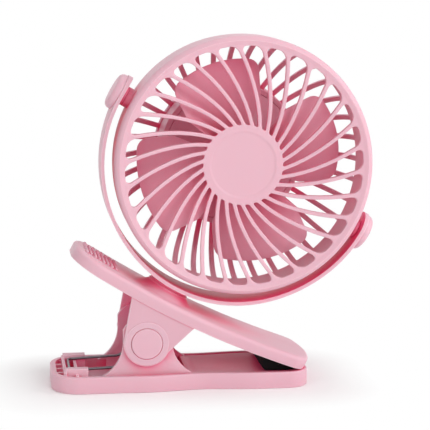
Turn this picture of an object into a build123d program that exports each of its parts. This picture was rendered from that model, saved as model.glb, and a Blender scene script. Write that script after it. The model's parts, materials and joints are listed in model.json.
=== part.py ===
"""Clip fan: a fan head in a half-round yoke that swivels on a spring clip.

Millimetres, +Z up. The origin is the centre of the clip's underside, +X runs along the
clip from its grip to its jaw tip, and the fan faces -Y at rest.
"""
from build123d import *
import math
import os

os.makedirs("parts", exist_ok=True)

# ---------------------------------------------------------------- driving dimensions, mm
# lower jaw: a tray with two ears
BASE_LENGTH = 143.5
BASE_GRIP_HALF = 26.0
BASE_JAW_HALF = 26.0
BASE_WAIST_HALF = 23.3
BASE_HIP_HALF = 26.6
BASE_HEIGHT = 9.0
BASE_FLOOR = 2.2
BASE_RIM = 3.0
BASE_GRIP_CORNER = 16.0
BASE_TIP_CORNER = 12.0
HIP_START = -36.0
HIP_X = -20.0
WAIST_X = 10.0
JAW_X = 46.0
TRAY_END = 3.0
PANEL_START = 6.0
PANEL_DEPTH = 0.6
TOP_EDGE_ROUND = 0.8
EAR_INSIDE = 17.5
EAR_THICK = 3.0
EAR_TOP = 14.7
EAR_FRONT = 14.5
EAR_BACK = 12.8
EAR_SHOULDER = 7.0
EAR_FOOT_BACK = 11.5
EAR_FOOT_FRONT = 13.0
CROSS_RIB = 1.6
SPRING_STOP_X = -64.3
SEAT_X = -57.8
END_RIB_PITCH = 9.0
TAB_LENGTH = 12.6
TAB_WIDTH = 5.0
TAB_RISE = 3.4

# pivot
PIVOT_X = -19.7
PIVOT_Z = 26.8
PIVOT_PIN_RADIUS = 2.5
PIVOT_CAP_RADIUS = 8.6
PIVOT_CAP_RISE = 0.9
PIVOT_CAP_SEAT = 1.1

# upper jaw: an arched lever with two cheeks
LEVER_X = -4.6
LEVER_Z = 48.35
LEVER_TILT = 28.0
LEVER_ARCH = 530.0
LEVER_BACK = 61.2
LEVER_OVERHANG = 14.6
LEVER_HALF = 25.0
LEVER_DEPTH = 7.0
LEVER_TOP_WALL = 2.4
LEVER_SIDE_WALL = 2.2
LEVER_GRIP_CORNER = 18.0
LEVER_TIP_CORNER = 8.0
LEVER_TIP_SWEEP = 70.0
LEVER_EDGE_ROUND = 2.4
CHEEK_OUTSIDE = 24.0
CHEEK_GAP = 0.5
LOBE_RADIUS = 12.7
BUMP_RADIUS = 0.85
BUMP_RISE = 0.3
BUMP_PITCH = 3.2
BUMP_ROW_PITCH = 2.7
BUMP_ROWS = 8
BUMP_COLUMNS = 9
BUMP_START = 6.5
CHEEK_BACK = 12.9
CHEEK_LEAN = 0.185
CHEEK_REACH = 34.0
NECK_RADIUS = 12.2
NECK_FOOT = 24.0
NECK_FOOT_DROP = 1.0
NECK_LIP = 0.8
NECK_RISE = 4.3
NECK_SINK = 3.2

# jaw pad
PAD_HALF = 20.0
PAD_LENGTH = 19.8
PAD_MARGIN = 6.75
PAD_HEEL_ROUND = 3.2
PAD_TOE_RUN = 5.5
PAD_TOE_RISE = 1.0

# torsion spring
WIRE = 1.5
COIL_RADIUS = 8.0
COIL_PITCH = 2.15
COIL_TURNS = 3
LEG_Y = 12.7
BAIL_X = -61.7
BAIL_Z = 10.1
BAIL_CORNER = 3.0
LEG_BEND_X = -33.0
LEG_BEND_Z = 11.4
LEG_BEND_RADIUS = 5.0
UPPER_LEG_ANGLE = 35.0

# swivel
SWIVEL_POST_RADIUS = 5.0
COLLAR_RADIUS = 11.5
COLLAR_HEIGHT = 1.6
SWIVEL_WASHER_RADIUS = 8.0
SWIVEL_WASHER = 1.0
SCREW_RADIUS = 1.5
SCREW_HEAD_RADIUS = 3.2
SCREW_HEAD = 1.9

# swivel axis: it leaves the lever's top at this point and leans towards the jaw tip
SWIVEL_X = -7.58
SWIVEL_Z = 50.0
SWIVEL_TILT = 30.3

# fan head, about the centre of the trunnion axis
HEAD_RADIUS = 71.8
HEAD_FRONT = 18.0
HEAD_WALL = 2.0
HEAD_FLAT = 4.8
BARREL_END = 3.0
GRILLE_RIM_DEPTH = 6.0
GRILLE_RIM_WIDTH = 5.5
FRONT_RIBS = 30
FRONT_RIB = 2.1
FRONT_RIB_DEPTH = 3.2
RIB_TWIST = 28.0
SLOT_OUTER_ROUND = 3.6
SLOT_INNER_ROUND = 0.8
SLOT_INNER = 22.4
HUB_DISH = 8.5
REAR_RIBS = 36
REAR_RIB = 3.0
REAR_SLOT_START = 15.0
REAR_RING_WIDTH = 2.5

# motor pod at the back of the head
POD_MARGIN = 8.5
POD_WALL = 2.2
POD_FLOOR = 2.0
COVER_STEP = 3.0
COVER_WALL = 2.0
COVER_SCREW_MARGIN = 9.0
COVER_SCREW_LENGTH = 9.0
MOTOR_RADIUS = 12.2
MOTOR_LENGTH = 24.0
MOTOR_CAP = 2.0
ROTOR_GAP = 1.6
SHAFT_RADIUS = 1.0
BUSH_RADIUS = 3.0
BUSH_HEIGHT = 1.6
COLLAR_WALL = 2.0
MOTOR_COLLAR = 11.0
CELL_RADIUS = 9.1
CELL_LENGTH = 65.0
CELL_ROOM = 1.9
BOARD_ROOM = 3.5
LEAD_WIRE = 0.6
LEAD_SIDE = 7.8
LEAD_UNDER = 10.6
CONTACT_WIDTH = 8.0
CONTACT_HEIGHT = 10.0
CONTACT_SHEET = 0.5
CELL_NIPPLE = 1.0
SADDLE_X = 20.0
SADDLE_HEIGHT = 6.5
BOARD_LENGTH = 40.0
BOARD_WIDTH = 26.0
BOARD_THICK = 1.6
BOARD_POST = 2.8
BUTTON_RADIUS = 5.5
BUTTON_RISE = 1.6
BUTTON_TRAVEL = 0.8
LIGHT_RADIUS = 1.5
CONTROL_OFFSET = 12.0
SOCKET_WIDTH = 8.9
SOCKET_HEIGHT = 3.3
SOCKET_WALL = 0.35

# impeller
BLADES = 4
BLADE_PHASE = 45.75
BLADE_TIP_GAP = 8.8
BLADE_THICK = 1.5
HUB_RADIUS = 18.5
HUB_HEIGHT = 13.0
HUB_FRONT = 4.0
HUB_WALL = 1.8
BLADE_ROOT_PITCH = 32.0
BLADE_TIP_PITCH = 17.0
BLADE_MIDDLE = -6.0
BLADE_BOW = 2.6
BLADE_CORNER = 7.0

# yoke
YOKE_GAP = 5.2
YOKE_WALL = 2.0
YOKE_BASE_HALF = 15.5
YOKE_ARM_HALF = 10.6
YOKE_FLARE = 21.0
YOKE_END_RADIUS = 11.0
YOKE_CAP_RADIUS = 10.4
YOKE_CAP_RISE = 4.2
TRUNNION_PIN_RADIUS = 2.5
TRUNNION_HEAD_RADIUS = 4.5
TRUNNION_HEAD = 1.6
TRUNNION_BOSS = 5.6
TRUNNION_WASHER = 1.7

# clearances
RUNNING = 0.06
FACE_GAP = 0.1
SLIP = 0.2
MOVING = 0.3

# ---------------------------------------------------------------- frames worked out from them
LEVER_FRONT = BASE_LENGTH / 2 + LEVER_OVERHANG
POD_RADIUS = CELL_LENGTH / 2 + POD_MARGIN
HEAD_BACK = HEAD_RADIUS + BARREL_END - HEAD_FLAT
BOARD_BACK = -HEAD_BACK + COVER_WALL + BOARD_POST
CELL_Z = BOARD_BACK + BOARD_THICK + BOARD_ROOM + CELL_RADIUS
POD_FRONT = CELL_Z + CELL_RADIUS + CELL_ROOM + POD_FLOOR
COVER_SCREW_RING = POD_RADIUS - COVER_SCREW_MARGIN
SLOT_OUTER = HEAD_RADIUS - GRILLE_RIM_WIDTH
BLADE_TIP = SLOT_OUTER - BLADE_TIP_GAP
YOKE_INNER = HEAD_RADIUS + YOKE_GAP
YOKE_OUTER = YOKE_INNER + YOKE_WALL


def leaning(degrees):
    """The directions along and out of a surface that falls this steeply towards the tip."""
    turn = math.radians(degrees)
    return Vector(math.cos(turn), 0, -math.sin(turn)), Vector(math.sin(turn), 0, math.cos(turn))


LEVER_ALONG, LEVER_UP = leaning(LEVER_TILT)
SWIVEL_ALONG, SWIVEL_UP = leaning(SWIVEL_TILT)
SEAT_DROP = YOKE_OUTER + FACE_GAP + COLLAR_HEIGHT
FOOT = Vector(SWIVEL_X, 0, SWIVEL_Z)
CENTRE = FOOT + SWIVEL_UP * (SEAT_DROP + NECK_RISE)
HEAD = Plane(origin=CENTRE, x_dir=SWIVEL_ALONG, z_dir=(0, -1, 0))
LEVER = Plane(origin=(LEVER_X, 0, LEVER_Z), x_dir=LEVER_ALONG, z_dir=LEVER_UP)
SWIVEL = Plane(origin=FOOT, x_dir=SWIVEL_ALONG, z_dir=SWIVEL_UP)
PIVOT = Vector(PIVOT_X, 0, PIVOT_Z)
HEAD_SPHERE_Z = -BARREL_END
YOKE_SEAT = math.sqrt(YOKE_INNER**2 - TRUNNION_BOSS**2)
PANEL_Z = BASE_HEIGHT - PANEL_DEPTH
EAR_OUTSIDE = EAR_INSIDE + EAR_THICK
CHEEK_INSIDE = EAR_OUTSIDE + CHEEK_GAP


def slab(face, low, high):
    """A side outline in X and Z as a plate from y = low to y = high."""
    return extrude(Plane.XZ.offset(-high) * face, high - low)


def both_sides(solid):
    """A solid and its mirror image across the clip's middle plane."""
    return solid + mirror(solid, about=Plane.XZ)


def rod(radius, start, end):
    """A round rod from one point to another."""
    start, end = Vector(*start), Vector(*end)
    plane = Plane(origin=start, z_dir=end - start)
    return extrude(plane * Circle(radius), (end - start).length)


def disc(radius, low, high, x=0.0, y=0.0):
    """A round disc about the local z axis, from z = low to z = high."""
    return Pos(x, y, low) * extrude(Circle(radius), high - low)


def tube(outer, inner, low, high):
    """A tube about the local z axis."""
    return disc(outer, low, high) - disc(inner, low - 1, high + 1)


def across_pivot(radius, low, high):
    """A rod on the pivot axis from y = low to y = high."""
    return rod(radius, (PIVOT_X, low, PIVOT_Z), (PIVOT_X, high, PIVOT_Z))


def save(name, shape):
    """Writes one sub-part."""
    export_step(shape, f"parts/{name}.step")


# ---------------------------------------------------------------- lower jaw
def base_outline(inset=0.0):
    """The base seen from above, with a soft waist in front of the ears."""
    left, right = -BASE_LENGTH / 2 + inset, BASE_LENGTH / 2 - inset
    wide, narrow = BASE_GRIP_HALF - inset, BASE_JAW_HALF - inset
    grip, tip = BASE_GRIP_CORNER - inset, BASE_TIP_CORNER - inset
    hip, waist = BASE_HIP_HALF - inset, BASE_WAIST_HALF - inset
    flow = Spline(
        (HIP_START, -wide), (HIP_X, -hip), (WAIST_X, -waist), (JAW_X, -narrow), tangents=[(1, 0), (1, 0)]
    )
    side = [
        Line((left, 0), (left, -wide + grip)),
        TangentArc((left, -wide + grip), (left + grip, -wide), tangent=(0, -1)),
        Line((left + grip, -wide), (HIP_START, -wide)),
        flow,
        Line((JAW_X, -narrow), (right - tip, -narrow)),
        TangentArc((right - tip, -narrow), (right, -narrow + tip), tangent=(1, 0)),
        Line((right, -narrow + tip), (right, 0)),
    ]
    half = Curve() + side
    return make_face(half + mirror(half, about=Plane.XZ))


def ear_outline():
    """An ear seen from the side: round over the pivot, with hollow flared feet."""
    back, front = PIVOT_X - EAR_BACK, PIVOT_X + EAR_FRONT
    shoulder = PIVOT_Z + EAR_SHOULDER
    foot = BASE_HEIGHT - TOP_EDGE_ROUND - 0.2
    top = (PIVOT_X, PIVOT_Z + EAR_TOP)
    return make_face(
        Curve()
        + [
            ThreePointArc((back, shoulder), top, (front, PIVOT_Z)),
            TangentArc((front, PIVOT_Z), (front + EAR_FOOT_FRONT, foot), tangent=(0, -1)),
            Line((front + EAR_FOOT_FRONT, foot), (back - EAR_FOOT_BACK, foot)),
            TangentArc((back, PIVOT_Z), (back - EAR_FOOT_BACK, foot), tangent=(0, -1)),
            Line((back, PIVOT_Z), (back, shoulder)),
        ]
    )


def lower_jaw():
    """Base tray, ears, ribs under the spring and the tabs that hold its end."""
    outline = base_outline()
    body = extrude(outline, BASE_HEIGHT)
    body = fillet(body.faces().sort_by(Axis.Z)[-1].edges(), TOP_EDGE_ROUND)
    inside = base_outline(BASE_RIM)
    left = -BASE_LENGTH / 2
    tray = inside & (Pos((left + TRAY_END) / 2, 0) * Rectangle(TRAY_END - left, 2 * BASE_GRIP_HALF))
    body -= Pos(0, 0, BASE_FLOOR) * extrude(tray, BASE_HEIGHT)
    panel = inside & (Pos(PANEL_START + BASE_LENGTH / 2, 0) * Rectangle(BASE_LENGTH, 2 * BASE_GRIP_HALF))
    body -= Pos(0, 0, PANEL_Z) * extrude(panel, BASE_HEIGHT)
    ear = slab(ear_outline(), EAR_INSIDE, EAR_OUTSIDE)
    ear += Pos(PIVOT_X, (EAR_INSIDE + EAR_OUTSIDE) / 2, 0) * Box(
        EAR_FRONT + EAR_BACK + EAR_FOOT_BACK,
        EAR_THICK,
        BASE_HEIGHT - TOP_EDGE_ROUND,
        align=(Align.CENTER, Align.CENTER, Align.MIN),
    )
    body += both_sides(ear)
    body += tray_ribs(inside)
    body += both_sides(spring_tab())
    body -= across_pivot(PIVOT_PIN_RADIUS + RUNNING, -BASE_WIDTH_REACH, BASE_WIDTH_REACH)
    return body


BASE_WIDTH_REACH = 2 * BASE_GRIP_HALF
WIRE_SEAT = BAIL_Z - WIRE / 2 - FACE_GAP


def tray_ribs(inside):
    """The wall beside the spring's end, the rib under it and the short end ribs."""
    end_x = -BASE_LENGTH / 2
    wall = Pos(SPRING_STOP_X, 0) * Rectangle(CROSS_RIB, 2 * BASE_GRIP_HALF)
    seat = Pos(SEAT_X, 0) * Rectangle(CROSS_RIB, 2 * BASE_GRIP_HALF)
    ribs = extrude(inside & wall, BASE_HEIGHT + TAB_RISE / 2)
    ribs += extrude(inside & seat, WIRE_SEAT)
    for place in range(-2, 3):
        y = place * END_RIB_PITCH
        end_rib = Pos((end_x + SPRING_STOP_X) / 2, y) * Rectangle(SPRING_STOP_X - end_x, CROSS_RIB)
        ribs += extrude(inside & end_rib, BASE_HEIGHT - TOP_EDGE_ROUND)
    return ribs


def spring_tab():
    """A raised block beside the spring's leg."""
    low = LEG_Y + WIRE / 2 + MOVING
    return Pos(SPRING_STOP_X + TAB_LENGTH / 2, low + TAB_WIDTH / 2, BASE_FLOOR - 0.2) * Box(
        TAB_LENGTH,
        TAB_WIDTH,
        BASE_HEIGHT + TAB_RISE - BASE_FLOOR,
        align=(Align.CENTER, Align.CENTER, Align.MIN),
    )


# ---------------------------------------------------------------- upper jaw
def lever_plan(inset):
    """The lever seen along its normal: round at the grip, with a bowed tip."""
    back, front = -LEVER_BACK + inset, LEVER_FRONT - inset
    half = LEVER_HALF - inset
    grip, tip = LEVER_GRIP_CORNER - inset, LEVER_TIP_CORNER - inset
    turn = math.radians(LEVER_TIP_SWEEP)
    across = half - tip * (1 - math.cos(turn))
    nose = across / math.cos(turn)
    corner = (front - nose * (1 - math.sin(turn)), -across)
    start = (corner[0] - tip * math.sin(turn), -half)
    side = [
        Line((back, 0), (back, -half + grip)),
        TangentArc((back, -half + grip), (back + grip, -half), tangent=(0, -1)),
        Line((back + grip, -half), start),
        TangentArc(start, corner, tangent=(1, 0)),
        TangentArc(corner, (front, 0), tangent=(math.cos(turn), math.sin(turn))),
    ]
    curve = Curve() + side
    return make_face(curve + mirror(curve, about=Plane.XZ))


def arch(depth):
    """The cylinder, in the lever's frame, that lies this deep under its top surface."""
    reach = 4 * LEVER_HALF
    return slab(Pos(0, LEVER_ARCH) * Circle(LEVER_ARCH + depth), -reach, reach)


def arched_plate(plan, top, bottom):
    """The part of an upright prism between two depths under the lever's top."""
    height = LEVER_BACK
    prism = Pos(0, 0, -height / 2) * extrude(plan, height)
    return (prism & arch(bottom)) - arch(top)


def neck_boss():
    """The flared boss that carries the collar, in the swivel's frame."""
    top, foot = NECK_RISE, -NECK_SINK / 2
    profile = make_face(
        Curve()
        + [
            Line((0, foot), (NECK_FOOT, foot)),
            Line((NECK_FOOT, foot), (NECK_FOOT, -NECK_FOOT_DROP)),
            TangentArc((NECK_FOOT, -NECK_FOOT_DROP), (NECK_RADIUS, top - NECK_LIP), tangent=(-1, 0)),
            Line((NECK_RADIUS, top - NECK_LIP), (NECK_RADIUS, top)),
            Line((NECK_RADIUS, top), (0, top)),
            Line((0, top), (0, foot)),
        ]
    )
    return revolve(Plane.XZ * profile, Axis.Z)


def cheek_outline():
    """A cheek seen from the side, from the lever down to the round lobe."""
    back = PIVOT_X - CHEEK_BACK
    top = PIVOT_Z + CHEEK_REACH
    corners = [
        (back + CHEEK_LEAN * CHEEK_REACH, top),
        (back, PIVOT_Z),
        (PIVOT_X, PIVOT_Z),
        (PIVOT_X + LOBE_RADIUS - 1.1, PIVOT_Z - 5.2),
        (PIVOT_X + 26.3, PIVOT_Z + 8.1),
        (PIVOT_X + 26.3, top),
    ]
    return make_face(Polyline(*corners, close=True)) + Pos(PIVOT_X, PIVOT_Z) * Circle(LOBE_RADIUS)


def upper_jaw():
    """Hollow arched lever, cheeks, neck boss and grip bumps."""
    lever = arched_plate(lever_plan(0), 0, LEVER_DEPTH)
    top = lever.faces().filter_by(GeomType.CYLINDER).sort_by(lambda f: abs(f.radius - LEVER_ARCH))[0]
    lever = fillet(top.edges(), LEVER_EDGE_ROUND)
    lever -= arched_plate(lever_plan(LEVER_SIDE_WALL), LEVER_TOP_WALL, LEVER_DEPTH + 1)
    lever += grip_bumps()
    body = LEVER * lever
    body += SWIVEL * (neck_boss() + disc(SWIVEL_WASHER_RADIUS, SLEEVE_LOW, 0))
    body -= SWIVEL * disc(SWIVEL_POST_RADIUS + RUNNING, SLEEVE_LOW - 9, NECK_RISE + 1)
    cheek = slab(cheek_outline(), CHEEK_INSIDE, CHEEK_OUTSIDE)
    cheek -= LEVER * arch(LEVER_TOP_WALL / 2)
    body += both_sides(cheek)
    body -= Pos(BASE_LENGTH / 2, 0, BASE_HEIGHT + MOVING - BASE_LENGTH / 4) * Box(
        BASE_LENGTH / 2, 2 * BASE_WIDTH_REACH, BASE_LENGTH / 2
    )
    body -= across_pivot(PIVOT_PIN_RADIUS, -BASE_WIDTH_REACH, BASE_WIDTH_REACH)
    seat = across_pivot(PIVOT_CAP_RADIUS + SLIP, CHEEK_OUTSIDE - PIVOT_CAP_SEAT, CHEEK_OUTSIDE + 1)
    return body - both_sides(seat)


def grip_bumps():
    """Staggered round bumps on the lever's grip end."""
    bumps = Part()
    for row in range(BUMP_ROWS):
        x = -LEVER_BACK + BUMP_START + row * BUMP_ROW_PITCH
        count = BUMP_COLUMNS - row % 2
        for column in range(count):
            y = (column - (count - 1) / 2) * BUMP_PITCH
            z = LEVER_ARCH - math.sqrt(LEVER_ARCH**2 - x**2)
            bumps += disc(BUMP_RADIUS, z - LEVER_TOP_WALL / 2, z + BUMP_RISE, x, y)
            bumps += Pos(x, y, z + BUMP_RISE) * Sphere(BUMP_RADIUS)
    return bumps


def jaw_pad():
    """Rubber pad in the lever's tip, with a flat sole over the base's panel."""
    sole = PANEL_Z + MOVING
    toe = BASE_LENGTH / 2 - PAD_MARGIN
    heel = toe - PAD_LENGTH
    top = PIVOT_Z
    outline = make_face(
        Curve()
        + [
            Line((heel, top), (heel, sole + PAD_HEEL_ROUND)),
            TangentArc((heel, sole + PAD_HEEL_ROUND), (heel + PAD_HEEL_ROUND, sole), tangent=(0, -1)),
            Line((heel + PAD_HEEL_ROUND, sole), (toe - PAD_TOE_RUN, sole)),
            TangentArc((toe - PAD_TOE_RUN, sole), (toe, sole + PAD_TOE_RISE), tangent=(1, 0)),
            Line((toe, sole + PAD_TOE_RISE), (toe, top)),
            Line((toe, top), (heel, top)),
        ]
    )
    return slab(outline, -PAD_HALF, PAD_HALF) - LEVER * arch(LEVER_TOP_WALL + FACE_GAP)


# ---------------------------------------------------------------- pivot
def pivot_pin():
    """Steel pin through ears and cheeks."""
    reach = CHEEK_OUTSIDE - PIVOT_CAP_SEAT - FACE_GAP
    return across_pivot(PIVOT_PIN_RADIUS, -reach, reach)


def pivot_cap(side):
    """Round cap in its seat on one cheek; side is -1 at the front and 1 at the back."""
    low = CHEEK_OUTSIDE - PIVOT_CAP_SEAT + 0.02
    cap = across_pivot(PIVOT_CAP_RADIUS, low, CHEEK_OUTSIDE + PIVOT_CAP_RISE)
    cap = fillet(cap.edges().group_by(Axis.Y)[-1], PIVOT_CAP_RISE * 0.8)
    return mirror(cap, about=Plane.XZ) if side < 0 else cap


# ---------------------------------------------------------------- torsion spring
def biarc(start, start_dir, end, end_dir):
    """Two arcs that leave start along start_dir and reach end along end_dir."""
    across = end - start
    both = start_dir + end_dir
    a = 2 * (1 - start_dir.dot(end_dir))
    b = across.dot(both)
    reach = (-b + math.sqrt(b * b + a * across.dot(across))) / a
    middle = (start + end + (start_dir - end_dir) * reach) * 0.5
    middle_dir = ((end - end_dir * reach) - (start + start_dir * reach)).normalized()
    return [TangentArc(start, middle, tangent=start_dir), TangentArc(middle, end, tangent=middle_dir)]


def coil_geometry():
    """Slope of the leg into the coil, start angle, total angle and number of pieces."""
    reach = Vector(PIVOT_X - LEG_BEND_X, 0, PIVOT_Z - LEG_BEND_Z)
    slope = math.atan2(reach.Z, reach.X) - math.asin(COIL_RADIUS / reach.length)
    start = -math.pi / 2 + slope
    total = math.radians(UPPER_LEG_ANGLE) - start + 2 * math.pi * COIL_TURNS
    return slope, start, total, math.ceil(total / (math.pi / 2))


def coil_point(angle, y):
    """A point of the coil at this angle about the pivot."""
    return Vector(PIVOT_X + COIL_RADIUS * math.cos(angle), y, PIVOT_Z + COIL_RADIUS * math.sin(angle))


def spring_side():
    """The back half's path, from the middle of the bail to the upper leg's end."""
    slope, start, total, pieces = coil_geometry()
    forward = Vector(math.cos(slope), 0, math.sin(slope))
    corner = Vector(BAIL_X, LEG_Y, BAIL_Z)
    bend = Vector(LEG_BEND_X, LEG_Y, LEG_BEND_Z)
    flat_run = (bend - corner).normalized()
    first = corner + Vector(0, -BAIL_CORNER, 0)
    second = corner + flat_run * BAIL_CORNER
    cut = LEG_BEND_RADIUS * math.tan(math.radians(flat_run.get_angle(forward)) / 2)
    before, after = bend - flat_run * cut, bend + forward * cut
    touch = coil_point(start, LEG_Y)
    path = [
        Line(Vector(BAIL_X, 0, BAIL_Z), first),
        TangentArc(first, second, tangent=(0, 1, 0)),
        Line(second, before),
        TangentArc(before, after, tangent=flat_run),
        Line(after, touch),
    ]
    climb = -COIL_PITCH / (2 * math.pi * COIL_RADIUS)
    here, here_dir = touch, forward
    for piece in range(1, pieces + 1):
        angle = start + total * piece / pieces
        there = coil_point(angle, LEG_Y - COIL_PITCH * total * piece / pieces / (2 * math.pi))
        flat = 0.0 if piece == pieces else climb
        there_dir = Vector(-math.sin(angle), flat, math.cos(angle)).normalized()
        path += biarc(here, here_dir, there, there_dir)
        here, here_dir = there, there_dir
    path.append(Line(here, here + here_dir * upper_leg_length(here, here_dir)))
    return path


def upper_leg_length(start, direction):
    """How far the leg runs until its wire lies just under the lever's top wall."""
    middle = Vector(LEVER_X, 0, LEVER_Z) + LEVER_UP * LEVER_ARCH
    radius = LEVER_ARCH + LEVER_TOP_WALL + WIRE / 2 + MOVING + 0.35
    offset_x, offset_z = start.X - middle.X, start.Z - middle.Z
    b = offset_x * direction.X + offset_z * direction.Z
    c = offset_x**2 + offset_z**2 - radius**2
    return -b - math.sqrt(b * b - c)


def torsion_spring():
    """Double torsion spring: one wire, two coils, joined by the bail in the tray."""
    half = spring_side()
    path = Wire([edge for curve in half for edge in curve.edges()])
    points = [path.position_at(i / 600) for i in range(601)]
    gap = least_coil_gap(points)
    print(f"torsion spring: least gap between turns {gap:.2f} mm")
    section = Plane(origin=path.position_at(0), z_dir=path.tangent_at(0)) * Circle(WIRE / 2)
    back = sweep(section, path=path)
    return back + mirror(back, about=Plane.XZ)


def least_coil_gap(points):
    """The least gap between stretches of the wire that lie over half a turn apart."""
    total = sum((points[i + 1] - points[i]).length for i in range(len(points) - 1))
    step = total / (len(points) - 1)
    apart = int(math.pi * COIL_RADIUS / step)
    gaps = [
        (points[i] - points[j]).length
        for i in range(0, len(points), 2)
        for j in range(i + apart, len(points), 2)
    ]
    return min(gaps) - WIRE


# ---------------------------------------------------------------- swivel
def swivel_collar():
    """Round collar between the neck boss and the yoke."""
    ring = tube(COLLAR_RADIUS, SWIVEL_POST_RADIUS + SLIP, NECK_RISE, NECK_RISE + COLLAR_HEIGHT)
    return SWIVEL * fillet(ring.edges().group_by(Axis.Z)[-1].sort_by(SortBy.RADIUS)[-1], 0.6)


SLEEVE_LOW = -(LEVER_DEPTH - SCREW_HEAD - SWIVEL_WASHER - 0.4)
POST_LOW = SLEEVE_LOW - FACE_GAP


def swivel_washer():
    """Steel washer that keeps the yoke's post in the lever."""
    return SWIVEL * tube(SWIVEL_WASHER_RADIUS, SCREW_RADIUS + SLIP, POST_LOW - SWIVEL_WASHER, POST_LOW)


def swivel_screw():
    """Screw from below into the yoke's post."""
    seat = POST_LOW - SWIVEL_WASHER
    head = disc(SCREW_HEAD_RADIUS, seat - SCREW_HEAD + 0.4, seat)
    head -= Pos(0, 0, seat - SCREW_HEAD) * (Box(3.6, 0.7, 1.6) + Box(0.7, 3.6, 1.6))
    return SWIVEL * (head + disc(SCREW_RADIUS, seat, NECK_RISE))


# ---------------------------------------------------------------- yoke
def trunnion_rod(radius, low, high, side):
    """A rod on the trunnion axis in the head's frame, between two distances from the centre."""
    return rod(radius, (side * low, 0, 0), (side * high, 0, 0))


def yoke():
    """Half-round band, wide at its seat, with round ends and the swivel post."""
    ring = disc(YOKE_OUTER, -YOKE_BASE_HALF, YOKE_BASE_HALF) - disc(
        YOKE_INNER, -YOKE_BASE_HALF - 1, YOKE_BASE_HALF + 1
    )
    seat = (-YOKE_OUTER - 1, YOKE_BASE_HALF)
    knee = (YOKE_FLARE - YOKE_OUTER, YOKE_ARM_HALF)
    end = (0, YOKE_END_RADIUS)
    upper = [
        Spline(end, knee, seat, tangents=[(-1, 0), (-1, 0.3)]),
        Line(seat, (seat[0], 0)),
    ]
    half = Curve() + upper
    tip = ThreePointArc((0, -YOKE_END_RADIUS), (YOKE_END_RADIUS, 0), end)
    side = make_face(half + mirror(half, about=Plane.XZ) + tip)
    outline = Plane(origin=(-2 * YOKE_OUTER, 0, 0), x_dir=(0, 1, 0), z_dir=(1, 0, 0)) * side
    band = ring & extrude(outline, 4 * YOKE_OUTER)
    for end in (-1, 1):
        band += trunnion_rod(YOKE_END_RADIUS, YOKE_INNER + 0.1, YOKE_OUTER, end)
        band -= trunnion_rod(TRUNNION_PIN_RADIUS + RUNNING, YOKE_INNER - 2, YOKE_OUTER + 1, end)
    band += rod(COLLAR_RADIUS, (0, -YOKE_OUTER, 0), (0, -YOKE_INNER - 0.8, 0))
    post_end = -(SEAT_DROP + NECK_RISE) + POST_LOW
    band += rod(SWIVEL_POST_RADIUS, (0, -YOKE_OUTER + 0.5, 0), (0, post_end, 0))
    band -= rod(SCREW_RADIUS, (0, -SEAT_DROP + 0.3, 0), (0, post_end - 1, 0))
    return HEAD * band


def trunnion_cap(side):
    """Domed cap over one end of the yoke."""
    cap = trunnion_rod(YOKE_CAP_RADIUS, YOKE_OUTER + 0.02, YOKE_OUTER + YOKE_CAP_RISE, 1)
    cap = fillet(cap.edges().group_by(Axis.X)[-1], YOKE_CAP_RISE * 0.75)
    room = TRUNNION_HEAD + 2 * MOVING
    cap -= trunnion_rod(TRUNNION_HEAD_RADIUS + MOVING, YOKE_OUTER - 1, YOKE_OUTER + room, 1)
    return HEAD * (mirror(cap, about=Plane.YZ) if side < 0 else cap)


def trunnion_washer(side):
    """Dark spacer between the head's boss and the yoke."""
    low = YOKE_SEAT - FACE_GAP - TRUNNION_WASHER
    ring = trunnion_rod(TRUNNION_BOSS, low, low + TRUNNION_WASHER, side)
    return HEAD * (ring - trunnion_rod(TRUNNION_PIN_RADIUS + SLIP, low - 1, YOKE_INNER + 1, side))


def trunnion_pins():
    """Shoulder screws on which the head tilts."""
    pins = []
    for side in (-1, 1):
        start = HEAD_RADIUS - HEAD_WALL + 0.5
        pin = trunnion_rod(TRUNNION_PIN_RADIUS, start, YOKE_OUTER + MOVING, side)
        head_low = YOKE_OUTER + MOVING - FACE_GAP
        pin += trunnion_rod(TRUNNION_HEAD_RADIUS, head_low, head_low + TRUNNION_HEAD, side)
        pins.append(HEAD * pin)
    return Compound(children=pins)


# ---------------------------------------------------------------- fan head
def sphere_radius(z, inset=0.0):
    """The head's radius at this height along the fan axis, less a wall."""
    return math.sqrt((HEAD_RADIUS - inset) ** 2 - (z - HEAD_SPHERE_Z) ** 2)


def sphere_height(radius, inset=0.0):
    """How far back the head's dome lies at this distance from the fan axis."""
    return HEAD_SPHERE_Z - math.sqrt((HEAD_RADIUS - inset) ** 2 - radius**2)


def spiral_point(radius, angle):
    """A point on a rib's middle line, at an angle at the hub and turning outward."""
    share = math.log(radius / SLOT_INNER) / math.log(SLOT_OUTER / SLOT_INNER)
    turn = math.radians(angle + RIB_TWIST * share)
    return Vector(radius * math.cos(turn), radius * math.sin(turn))


def rib_side(angle, side):
    """The arc along one side of a rib, half a rib's width from its middle line."""
    points = []
    mean = math.sqrt(SLOT_INNER * SLOT_OUTER)
    for radius in (SLOT_INNER, mean, SLOT_OUTER):
        here = spiral_point(radius, angle)
        ahead = spiral_point(radius + 0.01, angle) - here
        normal = Vector(-ahead.Y, ahead.X).normalized()
        points.append(here + normal * (side * FRONT_RIB / 2))
    return ThreePointArc(*points)


def grille_slot():
    """One opening between two ribs, from the hub to the ring, with round ends."""
    pitch = 360 / FRONT_RIBS
    first, second = rib_side(0, 1), rib_side(pitch, -1)
    outer = ThreePointArc(first @ 1, Vector(SLOT_OUTER, 0).rotate(Axis.Z, RIB_TWIST + pitch / 2), second @ 1)
    inner = Line(second @ 0, first @ 0)
    face = make_face(Curve() + [first, outer, second, inner])
    corners = face.vertices().sort_by(lambda v: v.X**2 + v.Y**2)
    face = fillet(corners[2:], SLOT_OUTER_ROUND)
    return fillet(face.vertices().sort_by(lambda v: v.X**2 + v.Y**2)[:2], SLOT_INNER_ROUND)


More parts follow.
